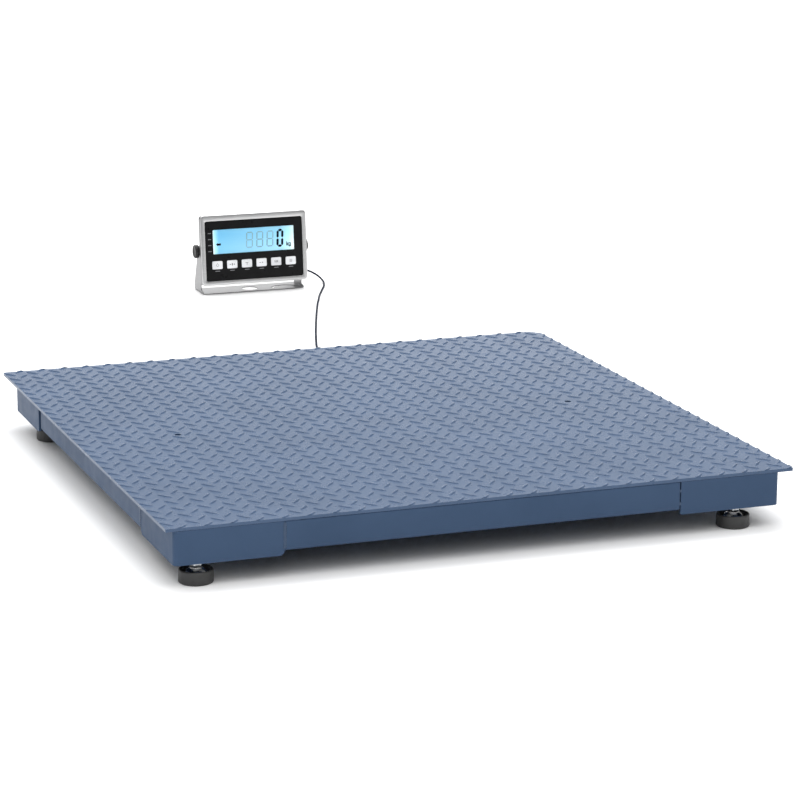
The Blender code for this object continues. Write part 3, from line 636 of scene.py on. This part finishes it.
def punch(target, cutter_mesh, name, operation="DIFFERENCE"):
    """Cut a shape out of target and forget the cutter."""
    bmesh.ops.recalc_face_normals(cutter_mesh, faces=cutter_mesh.faces)
    mesh = bpy.data.meshes.new(name)
    cutter_mesh.to_mesh(mesh)
    cutter_mesh.free()
    cutter = shown(name, mesh)
    change = target.modifiers.new(name, "BOOLEAN")
    change.operation = operation
    change.object = cutter
    bake_modifiers(target)
    bpy.data.objects.remove(cutter)


def bake_modifiers(piece):
    """Turn a piece's modifiers into its mesh."""
    bpy.context.view_layer.update()
    evaluated = piece.evaluated_get(bpy.context.evaluated_depsgraph_get())
    mesh = bpy.data.meshes.new_from_object(evaluated)
    piece.modifiers.clear()
    piece.data = mesh


def add_mesh_to(piece, points, faces):
    """Append smooth points and faces to a piece's mesh, whose own faces are flat."""
    extra = bpy.data.meshes.new("extra")
    extra.from_pydata([tuple(p) for p in points], [], faces)
    extra.shade_smooth()
    bm = bmesh.new()
    bm.from_mesh(piece.data)
    for face in bm.faces:
        face.smooth = False
    bm.from_mesh(extra)
    bmesh.ops.dissolve_degenerate(bm, dist=0.00002, edges=bm.edges)
    bmesh.ops.recalc_face_normals(bm, faces=bm.faces)
    bm.to_mesh(piece.data)
    bm.free()
    bpy.data.meshes.remove(extra)


# ---- frame

OPEN_JOINT = 0.0022                 # unfilled seam at the right end of the front skirt


def add_skirts():
    """Folded channel skirts with a small bend radius."""
    wall, bend, flange = 0.004, 0.006, 0.025
    for side in ("front", "rear", "left", "right"):
        low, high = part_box(f"skirt_{side}")
        axis = "X" if side in ("front", "rear") else "Y"
        inward = {"front": 1, "rear": -1, "left": 1, "right": -1}[side]
        face = {"front": low.y, "rear": high.y, "left": low.x, "right": high.x}[side]
        inside = face + inward * wall
        edge = face + inward * flange
        channel = rounded_outline([
            (face, low.z, bend), (edge, low.z, 0), (edge, low.z + wall, 0),
            (inside, low.z + wall, bend - wall), (inside, high.z - wall, bend - wall),
            (edge, high.z - wall, 0), (edge, high.z, 0), (face, high.z, 0.002),
        ])
        start, end = (low.x, high.x) if axis == "X" else (low.y, high.y)
        if side == "front":
            end -= OPEN_JOINT
        skirt = add_piece(f"side_skirt_{side}", swept(channel, start, end, axis), "frame_paint", "platform",
                          bevel=0.0002, stands_for=(f"skirt_{side}",))
        if side == "rear":
            outlet_low, outlet_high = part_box("cable_outlet")
            centre = (outlet_low + outlet_high) / 2
            punch(skirt, aimed(bore(0.0083, 0.02), 1, "X", (centre.x, face, centre.z)), "outlet_bore")


def add_corner_skirts():
    """Thick corner pieces, bent round the corner, their lower ends rounded off."""
    wall, bend = 0.005, 0.010
    end_round = {"fl": 0.010, "fr": 0.003, "rl": 0.008, "rr": 0.008}
    for corner in CORNERS:
        low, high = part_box(f"corner_skirt_{corner}")
        edge_x, in_x = (low.x, 1) if corner[1] == "l" else (high.x, -1)
        edge_y, in_y = (low.y, 1) if corner[0] == "f" else (high.y, -1)
        long_x, long_y = high.x - low.x, high.y - low.y
        outline = rounded_outline([
            (edge_x, edge_y, bend), (edge_x + in_x * long_x, edge_y, 0),
            (edge_x + in_x * long_x, edge_y + in_y * wall, 0),
            (edge_x + in_x * wall, edge_y + in_y * wall, bend - wall),
            (edge_x + in_x * wall, edge_y + in_y * long_y, 0), (edge_x, edge_y + in_y * long_y, 0),
        ], 10)
        bm = swept(outline, low.z, high.z)
        ends = (edge_x + in_x * long_x, edge_y + in_y * long_y)
        lower = [e for e in bm.edges if all(abs(v.co.z - low.z) < 1e-6 for v in e.verts)
                 and any(all(abs(v.co[k] - ends[k]) < 1e-6 for v in e.verts) for k in (0, 1))]
        bmesh.ops.bevel(bm, geom=lower, offset=end_round[corner], segments=8, profile=0.5, affect="EDGES")
        add_piece(f"corner_wall_{corner}", bm, "frame_paint", "platform", bevel=0.0002,
                  stands_for=(f"corner_skirt_{corner}",))


def weld_bead(start, end, out, radius=0.0022):
    """Rippled weld bead between two points, standing out along a direction."""
    length = (end - start).length
    ahead = (end - start).normalized()
    across = ahead.cross(out)
    bm = bmesh.new()
    loops = []
    steps = max(6, round(length / 0.0009))
    for i in range(steps + 1):
        far = length * i / steps
        swell = 1.0 + 0.16 * math.sin(far / 0.0042 * 2 * math.pi)
        swell += 0.08 * math.sin(far / 0.0131 * 2 * math.pi)
        taper = min(1.0, 0.35 + far / 0.004, 0.35 + (length - far) / 0.004)
        reach = radius * swell * taper
        centre = start + ahead * far
        rim = [centre + across * math.cos(a) * reach * 1.3 + out * (math.sin(a) * reach * 0.55)
               for a in (math.pi * k / 5 for k in range(6))]
        rim.append(centre - out * 0.0005)
        loops.append([bm.verts.new(point) for point in rim])
    return skinned(bm, loops)


def add_welds():
    """Beads where the centre skirts meet the corner pieces."""
    beads = []
    for side, out in (("front", (0, -1, 0)), ("rear", (0, 1, 0)), ("left", (-1, 0, 0)), ("right", (1, 0, 0))):
        low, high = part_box(f"skirt_{side}")
        seams = {
            "front": [(low.x, low.y)], "rear": [(low.x, high.y), (high.x, high.y)],
            "left": [(low.x, low.y)], "right": [(high.x, low.y)],
        }[side]
        for x, y in seams:
            foot, top = Vector((x, y, low.z + 0.004)), Vector((x, y, high.z - 0.001))
            beads.append(weld_bead(foot, top, Vector(out)))
        if side == "front":
            for start in (0.010, 0.034):
                tack = Vector((high.x - OPEN_JOINT / 2, low.y, low.z + start))
                beads.append(weld_bead(tack, tack + Vector((0, 0, 0.006)), Vector(out), 0.0016))
    add_piece("skirt_welds", merged(beads), "frame_paint", "platform", look=WELD, smooth=60)


# ---- feet

def arc_points(centre, radius, start, end, steps):
    """Points on an arc, angles in degrees."""
    turns = [math.radians(start + (end - start) * i / steps) for i in range(steps + 1)]
    return [(centre[0] + radius * math.cos(t), centre[1] + radius * math.sin(t)) for t in turns]


def hexagon(flats, low, high, hole, centre):
    """Hexagon nut or collar with chamfered corners."""
    reach = flats / math.sqrt(3)
    flat = flats / 2

    def six(angle, radius, height):
        return hexagon_reach(angle, radius, flat)

    chamfer = (reach - flat) * 0.55
    profile = [(hole, low), (flat - 0.0002, low), (reach, low + chamfer), (reach, high - chamfer),
               (flat - 0.0002, high), (hole, high)]
    return turned(profile, 48, centre, ring=True, wobble=six)


def threaded(low, high, radius, pitch=0.002):
    """Profile of a threaded rod as grooves."""
    root = radius - 0.0011
    points = []
    z = low
    while z + pitch < high:
        points += [(radius, z + pitch * 0.15), (radius, z + pitch * 0.35)]
        points += [(root, z + pitch * 0.70), (root, z + pitch * 0.85)]
        z += pitch
    return points


def add_feet():
    """Levelling feet: rubber cup, domed chrome seat, ball-ended stud with its collar and lock nut."""
    for corner in CORNERS:
        low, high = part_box(f"foot_cup_{corner}")
        centre = Vector(((low.x + high.x) / 2, (low.y + high.y) / 2, 0))
        radius, tall = (high.y - low.y) / 2, high.z
        wall = 0.0052
        cup = [(0, 0.0012), (radius - 0.010, 0.0012), (radius - 0.011, 0.0), (radius - 0.0025, 0.0),
               *arc_points((radius - 0.0025, 0.0025), 0.0025, -80, 0, 5),
               *arc_points((radius - 0.0028, tall - 0.0024), 0.0022, 0, 90, 6),
               *arc_points((radius - wall + 0.0016, tall - 0.0018), 0.0016, 90, 180, 5),
               (radius - wall, 0.0052), (0, 0.0052)]
        add_piece(f"cup_{corner}", turned(cup, 72, centre), "rubber", f"foot_{corner}",
                  stands_for=(f"foot_cup_{corner}",))

        seat_low, seat_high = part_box(f"foot_seat_{corner}")
        rim = (seat_high.y - seat_low.y) / 2 - 0.0001
        ball_low, stud_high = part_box(f"foot_stud_{corner}")
        ball = 0.011
        mid = ball_low.z + ball
        seat = [(0, seat_low.z), (rim, seat_low.z), (rim, 0.0142),
                *arc_points((rim - 0.0009, 0.0146), 0.0009, 0, 110, 5), (rim - 0.0022, 0.0150),
                *arc_points((0, 0.0038), 0.0246, 36, 64, 8),
                *arc_points((0.0112, 0.0272), 0.0012, 70, 180, 5),
                *arc_points((0, mid), ball + 0.0008, 30, -86, 12)]
        add_piece(f"seat_{corner}", turned(seat, 72, centre), "chrome", f"foot_{corner}",
                  stands_for=(f"foot_seat_{corner}",))

        neck, thread = 0.0062, 0.0078
        rise = math.degrees(math.acos(neck / ball))
        stud = [(0, mid - ball), *arc_points((0, mid), ball, -86, rise, 16),
                (neck, 0.0310), (neck, 0.0350), *threaded(0.0362, stud_high.z - 0.0015, thread),
                (thread - 0.001, stud_high.z), (0, stud_high.z)]
        rod = turned(stud, 48, centre)
        collar = hexagon(0.0214, 0.0303, 0.0368, 0.0060, centre)
        add_piece(f"stud_{corner}", merged([rod, collar]), "zinc", f"stud_{corner}",
                  stands_for=(f"foot_stud_{corner}",))
        cell_low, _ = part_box(f"load_cell_{corner}")
        nut = hexagon(0.0240, cell_low.z - 0.0088, cell_low.z - 0.0002, thread + 0.0002, centre)
        add_piece(f"lock_nut_{corner}", nut, "zinc", "platform")


def add_cell_bolts():
    """Two socket screws under each load cell's inner end, with washers."""
    profile = [(0, -0.0050), (0.0050, -0.0062), (0.0050, -0.0105), (0.0080, -0.0112), (0.0090, -0.0100),
               (0.0090, -0.0016), (0.0115, -0.0015), (0.0115, -0.0001), (0, -0.0001)]
    for corner in CORNERS:
        low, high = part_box(f"load_cell_{corner}")
        inner, inward = (high.x, 1) if corner[1] == "l" else (low.x, -1)
        y = (low.y + high.y) / 2
        heads = []
        for far in (0.016, 0.044):
            heads.append(turned(profile, 36, (inner - inward * far, y, low.z)))
        add_piece(f"cell_bolts_{corner}", merged(heads), "zinc", "platform")


def add_junction_glands():
    """Cable glands on the ends of the junction box, and screws in its lid."""
    low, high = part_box("junction_box")
    lid_low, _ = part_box("junction_lid")
    mid_y = (low.y + high.y) / 2
    profile = [(0.0024, 0.0002), (0.0085, 0.0002), (0.0085, 0.0050), (0.0068, 0.0053), (0.0068, 0.0110),
               (0.0050, 0.0135), (0.0024, 0.0140)]

    def flats(angle, radius, height):
        return hexagon_reach(angle, radius, 0.0074)

    gland_up = 0.080
    glands = []
    for turn, x in ((-1, low.x), (1, high.x)):
        for off in (-0.016, 0.016):
            gland = turned(profile, 36, ring=True, wobble=flats)
            glands.append(aimed(gland, turn, "Y", (x, mid_y + off, gland_up)))
    add_piece("junction_glands", merged(glands), "black_plastic", "platform")
    screws = []
    for x in (low.x + 0.008, high.x - 0.008):
        for y in (low.y + 0.008, high.y - 0.008):
            screws.append(turned([(0, -0.0016), (0.0012, -0.0010), (0.0020, -0.0018), (0.0033, -0.0012),
                                  (0.0035, 0.0001), (0, 0.0001)], 24, (x, y, lid_low.z)))
    add_piece("junction_screws", merged(screws), "zinc", "platform")


# ---- indicator

CASE_LEAN = math.radians(6)
PIVOT_UP, PIVOT_IN = 0.085, 0.032   # pivot on the casing, from its lower front edge
CASE_HALF_W, CASE_HIGH, CASE_DEEP = 0.1385, 0.176, 0.046
SHEET = 0.002
PANEL_HALF_W, PANEL_HALF_H, PANEL_UP = 0.1265, 0.0745, 0.0857
PANEL_FACE = 0.0018                 # depth of the panel's face behind the bezel's
WINDOW_HALF_W, WINDOW_HALF_H, WINDOW_UP = 0.106, 0.0305, 0.108
KEY_HALF_W, KEY_HALF_H, KEY_UP, KEY_PITCH = 0.0133, 0.0100, 0.0505, 0.0384
KEY_SHIFT = -0.0010
GLAND_X, GLAND_UP, GLAND_LONG = 0.108, 0.020, 0.0263


def case_matrix():
    """From the casing's own axes (across, into it, up its face) to the world."""
    lean = Matrix.Rotation(-CASE_LEAN, 4, "X")
    return Matrix.Translation(PIVOT) @ lean @ Matrix.Translation((0, -PIVOT_IN, -PIVOT_UP))


def on_case(name, bm, slot, body="casing", **more):
    """Add a piece that is drawn in the casing's own axes."""
    bmesh.ops.transform(bm, matrix=case_matrix(), verts=bm.verts)
    return add_piece(name, bm, slot, body, **more)


def add_casing():
    """Stainless bezel, rear cover and the cover's screws."""
    mid = CASE_HIGH / 2
    open_w, open_h = PANEL_HALF_W + 0.0003, PANEL_HALF_H + 0.0003
    deep = 0.014
    mouth = [(open_w + grow, open_h + grow, radius, PANEL_UP, y) for grow, radius, y in (
        (0, 0.005, 0.0008), (0.0003, 0.005, 0.0002), (0.0010, 0.006, 0.0), (0, 0.005, 0.0015))]
    shell = [(CASE_HALF_W - inset, mid - inset, radius, mid, y) for inset, radius, y in (
        (0.0030, 0.008, 0.0), (0.0014, 0.009, 0.0003), (0.0004, 0.010, 0.0013), (0, 0.010, 0.0028),
        (0, 0.010, deep - 0.0004), (0.0004, 0.010, deep), (SHEET, 0.008, deep), (SHEET, 0.008, 0.0015))]
    bezel = on_case("bezel", lofted(mouth[:-1] + shell + mouth[-1:], closed=True, steps=8), "stainless",
                    stands_for=("indicator_bezel",))
    bezel.data.materials.append(DULL_STEEL)
    for face in bezel.data.polygons:
        if abs(face.normal.x) > 0.75:
            face.material_index = 1
    lip_w, lip_h = CASE_HALF_W - SHEET - 0.0003, mid - SHEET - 0.0003
    cover = lofted([
        (0.1220, 0.0740, 0.006, mid, CASE_DEEP - SHEET), (0.1280, 0.0800, 0.006, mid, 0.031),
        (0.1280, 0.0800, 0.006, mid, 0.0115), (lip_w, lip_h, 0.0075, mid, 0.0115),
        (lip_w, lip_h, 0.0075, mid, 0.0137), (0.1310, 0.0830, 0.008, mid, 0.0137),
        (0.1300, 0.0820, 0.008, mid, 0.0147), (0.1300, 0.0820, 0.008, mid, 0.0312),
        (0.1296, 0.0816, 0.008, mid, 0.0328), (0.1250, 0.0770, 0.008, mid, 0.0448),
        (0.1236, 0.0756, 0.008, mid, 0.0456), (0.1222, 0.0742, 0.008, mid, CASE_DEEP),
    ], steps=8)
    on_case("rear_cover", cover, "stainless", look=DULL_STEEL, stands_for=("indicator_cover",))
    screws = []
    for x in (-0.112, 0.0, 0.112):
        for up in (0.022, CASE_HIGH - 0.022):
            if x == 0.0 and up < mid:
                continue
            head = turned([(0, 0.0012), (0.0011, 0.0006), (0.0019, 0.0016), (0.0032, 0.0011),
                           (0.0034, -0.0001), (0, -0.0001)], 24)
            screws.append(aimed(head, -1, "X", (x, CASE_DEEP, up)))
    on_case("cover_screws", merged(screws), "zinc")


def flat_piece(outline, front, back):
    """Flat plate in the casing's axes from an outline of (across, up)."""
    return swept(outline, front, back, "Y")


def around(x, up, half_w, half_h, radius, steps=5):
    """Outline of a rounded rectangle about a middle point."""
    return box_outline(x - half_w, x + half_w, up - half_h, up + half_h, radius, steps)


def key_x(i):
    """Middle of a key across the panel."""
    return (i - 2.5) * KEY_PITCH + KEY_SHIFT


def add_panel():
    """Black film with openings."""
    panel = on_case("panel", flat_piece(around(0, PANEL_UP, 0.1335, 0.0810, 0.004), PANEL_FACE, 0.0038),
                    "panel_film", stands_for=("keypad_panel",))
    cutters = [around(0, WINDOW_UP, WINDOW_HALF_W + 0.0003, WINDOW_HALF_H + 0.0003, 0.003)]
    cutters += [around(key_x(i), KEY_UP, KEY_HALF_W + 0.0003, KEY_HALF_H + 0.0003, 0.003) for i in range(6)]
    for i, outline in enumerate(cutters):
        cutter = flat_piece(outline, -0.01, 0.02)
        bmesh.ops.transform(cutter, matrix=case_matrix(), verts=cutter.verts)
        punch(panel, cutter, f"panel_opening_{i}")


def add_keys():
    """Embossed keys with crowned faces, each with a plain printed sign."""
    crown = ((0.0, 0.0060), (0.0, 0.0017), (0.0003, 0.0014), (0.0009, 0.0011), (0.0020, 0.0010))
    for i in range(6):
        x = key_x(i)
        key = lofted([
            (KEY_HALF_W - shrink, KEY_HALF_H - shrink, max(0.0005, 0.003 - shrink), KEY_UP, depth)
            for shrink, depth in crown])
        bmesh.ops.translate(key, verts=key.verts, vec=(x, 0, 0))
        on_case(f"key_cap_{i + 1}", key, "key_film", f"key_{i + 1}", stands_for=(f"key_{i + 1}",))
        signs = [flat_piece(outline, 0.00092, 0.0011) for outline in key_sign(i, x)]
        on_case(f"key_sign_{i + 1}", merged(signs), "panel_film", f"key_{i + 1}", look=PRINT_DARK)


def key_sign(i, x):
    """Outlines of a key's sign: bars, arrows and a ring of short strokes."""
    up = KEY_UP

    def bar(dx, dy, half_w, half_h):
        return around(x + dx, up + dy, half_w, half_h, 0.0002, 2)

    def arrow(dx, dy, point):
        tip, tail, high = 0.0022 * point, -0.0014 * point, 0.0017
        return [(x + dx + tip, up + dy), (x + dx + tail, up + dy + high), (x + dx + tail, up + dy - high)]

    return (
        [bar(0, 0.0034, 0.0004, 0.0016), bar(-0.0028, 0, 0.0004, 0.0022), bar(0.0028, 0, 0.0004, 0.0022),
         bar(0, -0.0030, 0.0020, 0.0004)],
        [arrow(-0.0050, 0, 1), arrow(0.0050, 0, -1), bar(0, 0, 0.0012, 0.0028)],
        [bar(0, 0.0022, 0.0040, 0.0005), bar(0, -0.0008, 0.0005, 0.0028)],
        [bar(-0.0038, 0, 0.0024, 0.0005), arrow(0.0022, 0, 1)],
        [bar(-0.0034, 0, 0.0007, 0.0028), bar(0, 0, 0.0007, 0.0028), bar(0.0034, 0, 0.0007, 0.0028)],
        [bar(0, 0.0026, 0.0036, 0.0005), bar(0, -0.0026, 0.0036, 0.0005), bar(0, 0, 0.0036, 0.0005)],
    )[i]


def add_labels():
    """Plain grey marks where the panel is printed."""
    places = [(key_x(i), KEY_UP - 0.0150, 0.0060) for i in range(6)]
    places += [(-0.1150, WINDOW_UP + 0.0225 - 0.0150 * i, 0.0042) for i in range(4)]
    marks = [flat_piece(around(x, up, half_w, 0.0009, 0.0003, 2), 0.00165, 0.0019)
             for x, up, half_w in places]
    on_case("panel_marks", merged(marks), "panel_film", look=PRINT_GREY)


DIGIT_WIDE = 0.0180
LIT_HIGH, UNLIT_HIGH = 0.0450, 0.0400
BOLD, FINE = 0.0058, 0.0030        # strokes of the lit digit and of the unlit ones
SEGMENTS = {
    "a": ("across", 1.0), "g": ("across", 0.5), "d": ("across", 0.0),
    "f": ("up", 0, 0.5), "b": ("up", 1, 0.5), "e": ("up", 0, 0.0), "c": ("up", 1, 0.0),
}


def segment(name, x, h, t):
    """Outline of one segment, with stroke t, of a seven-segment digit h high that leans to the right."""
    w, cut = DIGIT_WIDE, 0.0006
    low = WINDOW_UP - h / 2 + 0.0005
    kind = SEGMENTS[name]
    if kind[0] == "across":
        mid = low + t / 2 + (h - t) * kind[1]
        outline = [(x + t / 2 + cut, mid), (x + t + cut, mid + t / 2), (x + w - t - cut, mid + t / 2),
                   (x + w - t / 2 - cut, mid), (x + w - t - cut, mid - t / 2), (x + t + cut, mid - t / 2)]
    else:
        mid = x + t / 2 + (w - t) * kind[1]
        bottom = low + t / 2 + (h - t) * kind[2] + cut
        top = bottom + (h - t) / 2 - 2 * cut
        outline = [(mid, bottom), (mid + t / 2, bottom + t / 2), (mid + t / 2, top - t / 2), (mid, top),
                   (mid - t / 2, top - t / 2), (mid - t / 2, bottom + t / 2)]
    return [(a + (b - low) * 0.05, b) for a, b in outline]


def add_display():
    """Lit display with three faint digits, a dark nought, an arrow and the unit."""
    front = 0.0042

    def printed(outline, proud=0.0001):
        return flat_piece(outline, front - proud, front + 0.0001)

    glass = [(0.1055, 0.0300, 0.001, WINDOW_UP, depth) for depth in (0.0080, front)]
    on_case("lcd_glass", lofted(glass), "lcd", stands_for=("display_lcd",))
    starts = (-0.0205, 0.0063, 0.0331, 0.0592)
    ghosts = [printed(segment(name, x, UNLIT_HIGH, FINE), 0.00006) for x in starts[:3] for name in SEGMENTS]
    on_case("ghost_digits", merged(ghosts), "lcd", look=SEGMENT_GHOST)
    dark = [printed(segment(name, starts[3], LIT_HIGH, BOLD)) for name in "abcdef"]
    tip, up = -0.0980, WINDOW_UP - 0.0065
    arrow = [(tip, up), (tip + 0.0045, up + 0.0044), (tip + 0.0045, up + 0.0025), (tip + 0.0125, up + 0.0025),
             (tip + 0.0125, up - 0.0025), (tip + 0.0045, up - 0.0025), (tip + 0.0045, up - 0.0044)]
    dark += [printed(outline) for outline in [arrow, *unit_outlines()]]
    on_case("lit_digits", merged(dark), "lcd", look=SEGMENT_ON)
    pane = [(WINDOW_HALF_W, WINDOW_HALF_H, 0.0027, WINDOW_UP, depth) for depth in (0.0032, PANEL_FACE)]
    on_case("window", lofted(pane), "window", stands_for=("display_window",))


def unit_outlines():
    """The unit sign kg in plain strokes."""
    x, low = 0.0865, WINDOW_UP - 0.0190
    stroke = 0.0010

    def bar(x0, y0, x1, y1):
        ahead = (Vector((x1, y1)) - Vector((x0, y0))).normalized() * stroke
        side = Vector((-ahead.y, ahead.x))
        a, b = Vector((x0, y0)) - ahead, Vector((x1, y1)) + ahead
        return [tuple(a + side), tuple(b + side), tuple(b - side), tuple(a - side)]

    strokes = [(0, 0, 0, 0.0085), (0.0008, 0.0026, 0.0034, 0.0056), (0.0012, 0.0030, 0.0036, 0.0),
               (0.0062, 0.0056, 0.0092, 0.0056), (0.0058, 0.0006, 0.0058, 0.0050), (0.0062, 0.0, 0.0092, 0.0),
               (0.0098, 0.0056, 0.0098, -0.0018), (0.0062, -0.0024, 0.0092, -0.0024)]
    return [bar(x + a, low + b, x + c, low + d) for a, b, c, d in strokes]


def add_bracket():
    """U of brushed sheet with bent corners, tapered ears, a round opening and a curved slot."""
    low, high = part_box("indicator_bracket")
    mid, half = (low.x + high.x) / 2, (high.x - low.x) / 2
    inner = half - SHEET
    tall = PIVOT.z + 0.020
    sheet = rounded_outline([(mid - half, 0, 0.004), (mid + half, 0, 0.004), (mid + half, tall, 0),
                             (mid + inner, tall, 0), (mid + inner, SHEET, 0.002), (mid - inner, SHEET, 0.002),
                             (mid - inner, tall, 0), (mid - half, tall, 0)], 8)
    piece = add_piece("bracket", swept(sheet, low.y, high.y, "Y"), "stainless", "platform",
                      look=DULL_STEEL, stands_for=("indicator_bracket",))
    side = rounded_outline([
        (low.y, -0.001, 0), (high.y, -0.001, 0), (high.y, 0.020, 0.010),
        (PIVOT.y + 0.014, PIVOT.z + 0.013, 0.013), (PIVOT.y - 0.012, PIVOT.z + 0.013, 0.012),
        (PIVOT.y - 0.007, 0.010, 0.006), (low.y, SHEET + 0.004, 0.002)], 8)
    keep = swept(side, mid - half - 0.01, mid + half + 0.01, "X")
    punch(piece, keep, "side_profile", "INTERSECT")
    punch(piece, bore(0.020, 0.01, 64, (mid, low.y + 0.033, 0)), "eye")
    bow = (mid + 0.088, low.y + 0.006)
    edges = arc_points(bow, 0.040, 25, 155, 28) + arc_points(bow, 0.032, 155, 25, 28)
    punch(piece, swept(edges, -0.01, 0.01), "bow")
    punch(piece, aimed(bore(0.0044, 0.2), 1, "Y", PIVOT), "pivot_bore")
    piece.data.set_sharp_from_angle(angle=math.radians(30))


def add_knobs():
    """Knurled clamping knobs."""
    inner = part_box("knob_right")[1].x - 0.0145 - PIVOT.x

    def knurl(angle, radius, height):
        if radius < 0.0150:
            return radius
        return radius - 0.0006 * (0.5 + 0.5 * math.cos(angle * 18)) ** 2

    profile = [(0, inner - 0.0023), (0.0040, inner - 0.0023), (0.0040, inner), (0.0090, inner),
               (0.0094, inner + 0.0025), (0.0140, inner + 0.0036), (0.0155, inner + 0.0040),
               (0.0163, inner + 0.0046), (0.0165, inner + 0.0056), (0.0165, inner + 0.0122),
               (0.0160, inner + 0.0138), (0.0148, inner + 0.0145), (0.0135, inner + 0.0143),
               (0.0125, inner + 0.0136), (0, inner + 0.0132)]
    for side, turn in (("left", -1), ("right", 1)):
        knob = aimed(turned(profile, 108, wobble=knurl), turn, "Y", PIVOT)
        add_piece(f"clamp_{side}", knob, "black_plastic", f"knob_{side}", smooth=40,
                  stands_for=(f"knob_{side}",))


def add_case_gland():
    """Cable gland with a hexagon, a ribbed cap and a tapered sleeve."""
    def shape(angle, radius, height):
        if height < 0.0062:
            return hexagon_reach(angle, radius, 0.0092)
        if radius > 0.0080:
            return radius - 0.0004 * (0.5 + 0.5 * math.cos(angle * 14))
        return radius

    inside = CABLE_RADIUS + 0.0002
    sleeve = [(0.0066, 0.0172), (0.0061, 0.0180), (0.0057, 0.0196), (0.0058, 0.0204), (0.0053, 0.0212),
              (0.0054, 0.0222), (0.0049, 0.0230), (0.0048, 0.0250), (0.0044, 0.0260)]
    profile = [(inside, 0.0), (0.0105, 0.0002), (0.0105, 0.0055), (0.0100, 0.0060), (0.0086, 0.0063),
               (0.0090, 0.0070), (0.0090, 0.0140), (0.0080, 0.0160), *sleeve, (inside, 0.0260)]
    gland = turned(profile, 84, ring=True, wobble=shape)
    aimed(gland, -1, "X", (GLAND_X, CASE_DEEP + 0.0001, GLAND_UP))
    on_case("lead_gland", gland, "black_plastic", smooth=35, stands_for=("case_gland",))


# ---- carried-over parts, stage and lights

def dress_cad_nodes():
    """Give every carried-over CAD node its slot's material."""
    slots = {part["node"]: part["material_slot"] for part in frame["record"]["subparts"]}
    for name, node in frame["nodes"].items():
        look = LOOKS[slots[name]]
        if not node.material_slots:
            node.data.materials.append(look)
        for holder in node.material_slots:
            holder.material = look


def add_stage():
    """Pale floor."""
    mesh = bpy.data.meshes.new("floor")
    reach = 14.0
    mesh.from_pydata([(-reach, -reach, 0), (reach, -reach, 0), (reach, reach, 0), (-reach, reach, 0)], [],
                     [(0, 1, 2, 3)])
    floor = shown("floor", mesh)
    look = Look("pale_floor", (0.93, 0.93, 0.93), 0.9)
    look.set("Specular IOR Level", 0.0)
    mesh.materials.append(look.material)


def add_area(name, place, target, size, power):
    """Rectangular area lamp that faces a target."""
    data = bpy.data.lights.new(name, "AREA")
    data.shape = "RECTANGLE"
    data.size, data.size_y = size
    data.energy = power
    lamp = shown(name, data)
    lamp.location = place
    lamp.rotation_euler = (Vector(target) - Vector(place)).to_track_quat("-Z", "Y").to_euler()


def add_lights():
    """Soft studio: white behind the object, light that grows overhead and behind, three lamps."""
    world = bpy.data.worlds.new("studio")
    world.use_nodes = True
    tree = world.node_tree
    background = tree.nodes["Background"]
    background.inputs["Color"].default_value = (1.0, 1.0, 1.0, 1.0)
    axes = tree.nodes.new("ShaderNodeSeparateXYZ")
    tree.links.new(tree.nodes.new("ShaderNodeTexCoord").outputs["Generated"], axes.inputs["Vector"])
    total = tree.nodes.new("ShaderNodeMath")     # its default is to add
    upward = map_range(tree, axes.outputs["Z"], 0.34, 0.90, 0.18, 1.90)
    rearward = map_range(tree, axes.outputs["Y"], -0.40, 0.95, 0.0, 0.36)
    tree.links.new(upward, total.inputs[0])
    tree.links.new(rearward, total.inputs[1])
    seen = tree.nodes.new("ShaderNodeMix")
    seen.inputs["B"].default_value = 1.0
    tree.links.new(tree.nodes.new("ShaderNodeLightPath").outputs["Is Camera Ray"], seen.inputs["Factor"])
    tree.links.new(total.outputs["Value"], seen.inputs["A"])
    tree.links.new(seen.outputs["Result"], background.inputs["Strength"])
    bpy.context.scene.world = world
    add_area("rear_lamp", (1.3, 4.6, 11.0), (0, 0, 0), (8.0, 6.0), 860.0)
    add_area("low_lamp", (1.8, 3.6, 0.55), (0.1, 0.3, 0.1), (3.6, 0.9), 15.0)
    add_area("front_lamp", (-0.9, -3.2, 1.0), (0, -1.0, 0.1), (1.0, 0.8), 4.0)
    bpy.context.scene.view_settings.view_transform = "Standard"


def build_scene():
    """Every piece, the stage, the camera and the lights. The camera and the cable come first."""
    add_camera()
    add_cable()
    dress_cad_nodes()
    add_load_plate()
    add_skirts()
    add_corner_skirts()
    add_welds()
    add_feet()
    add_cell_bolts()
    add_junction_glands()
    add_casing()
    add_panel()
    add_keys()
    add_labels()
    add_display()
    add_bracket()
    add_knobs()
    add_case_gland()
    add_stage()
    add_lights()


build_scene()
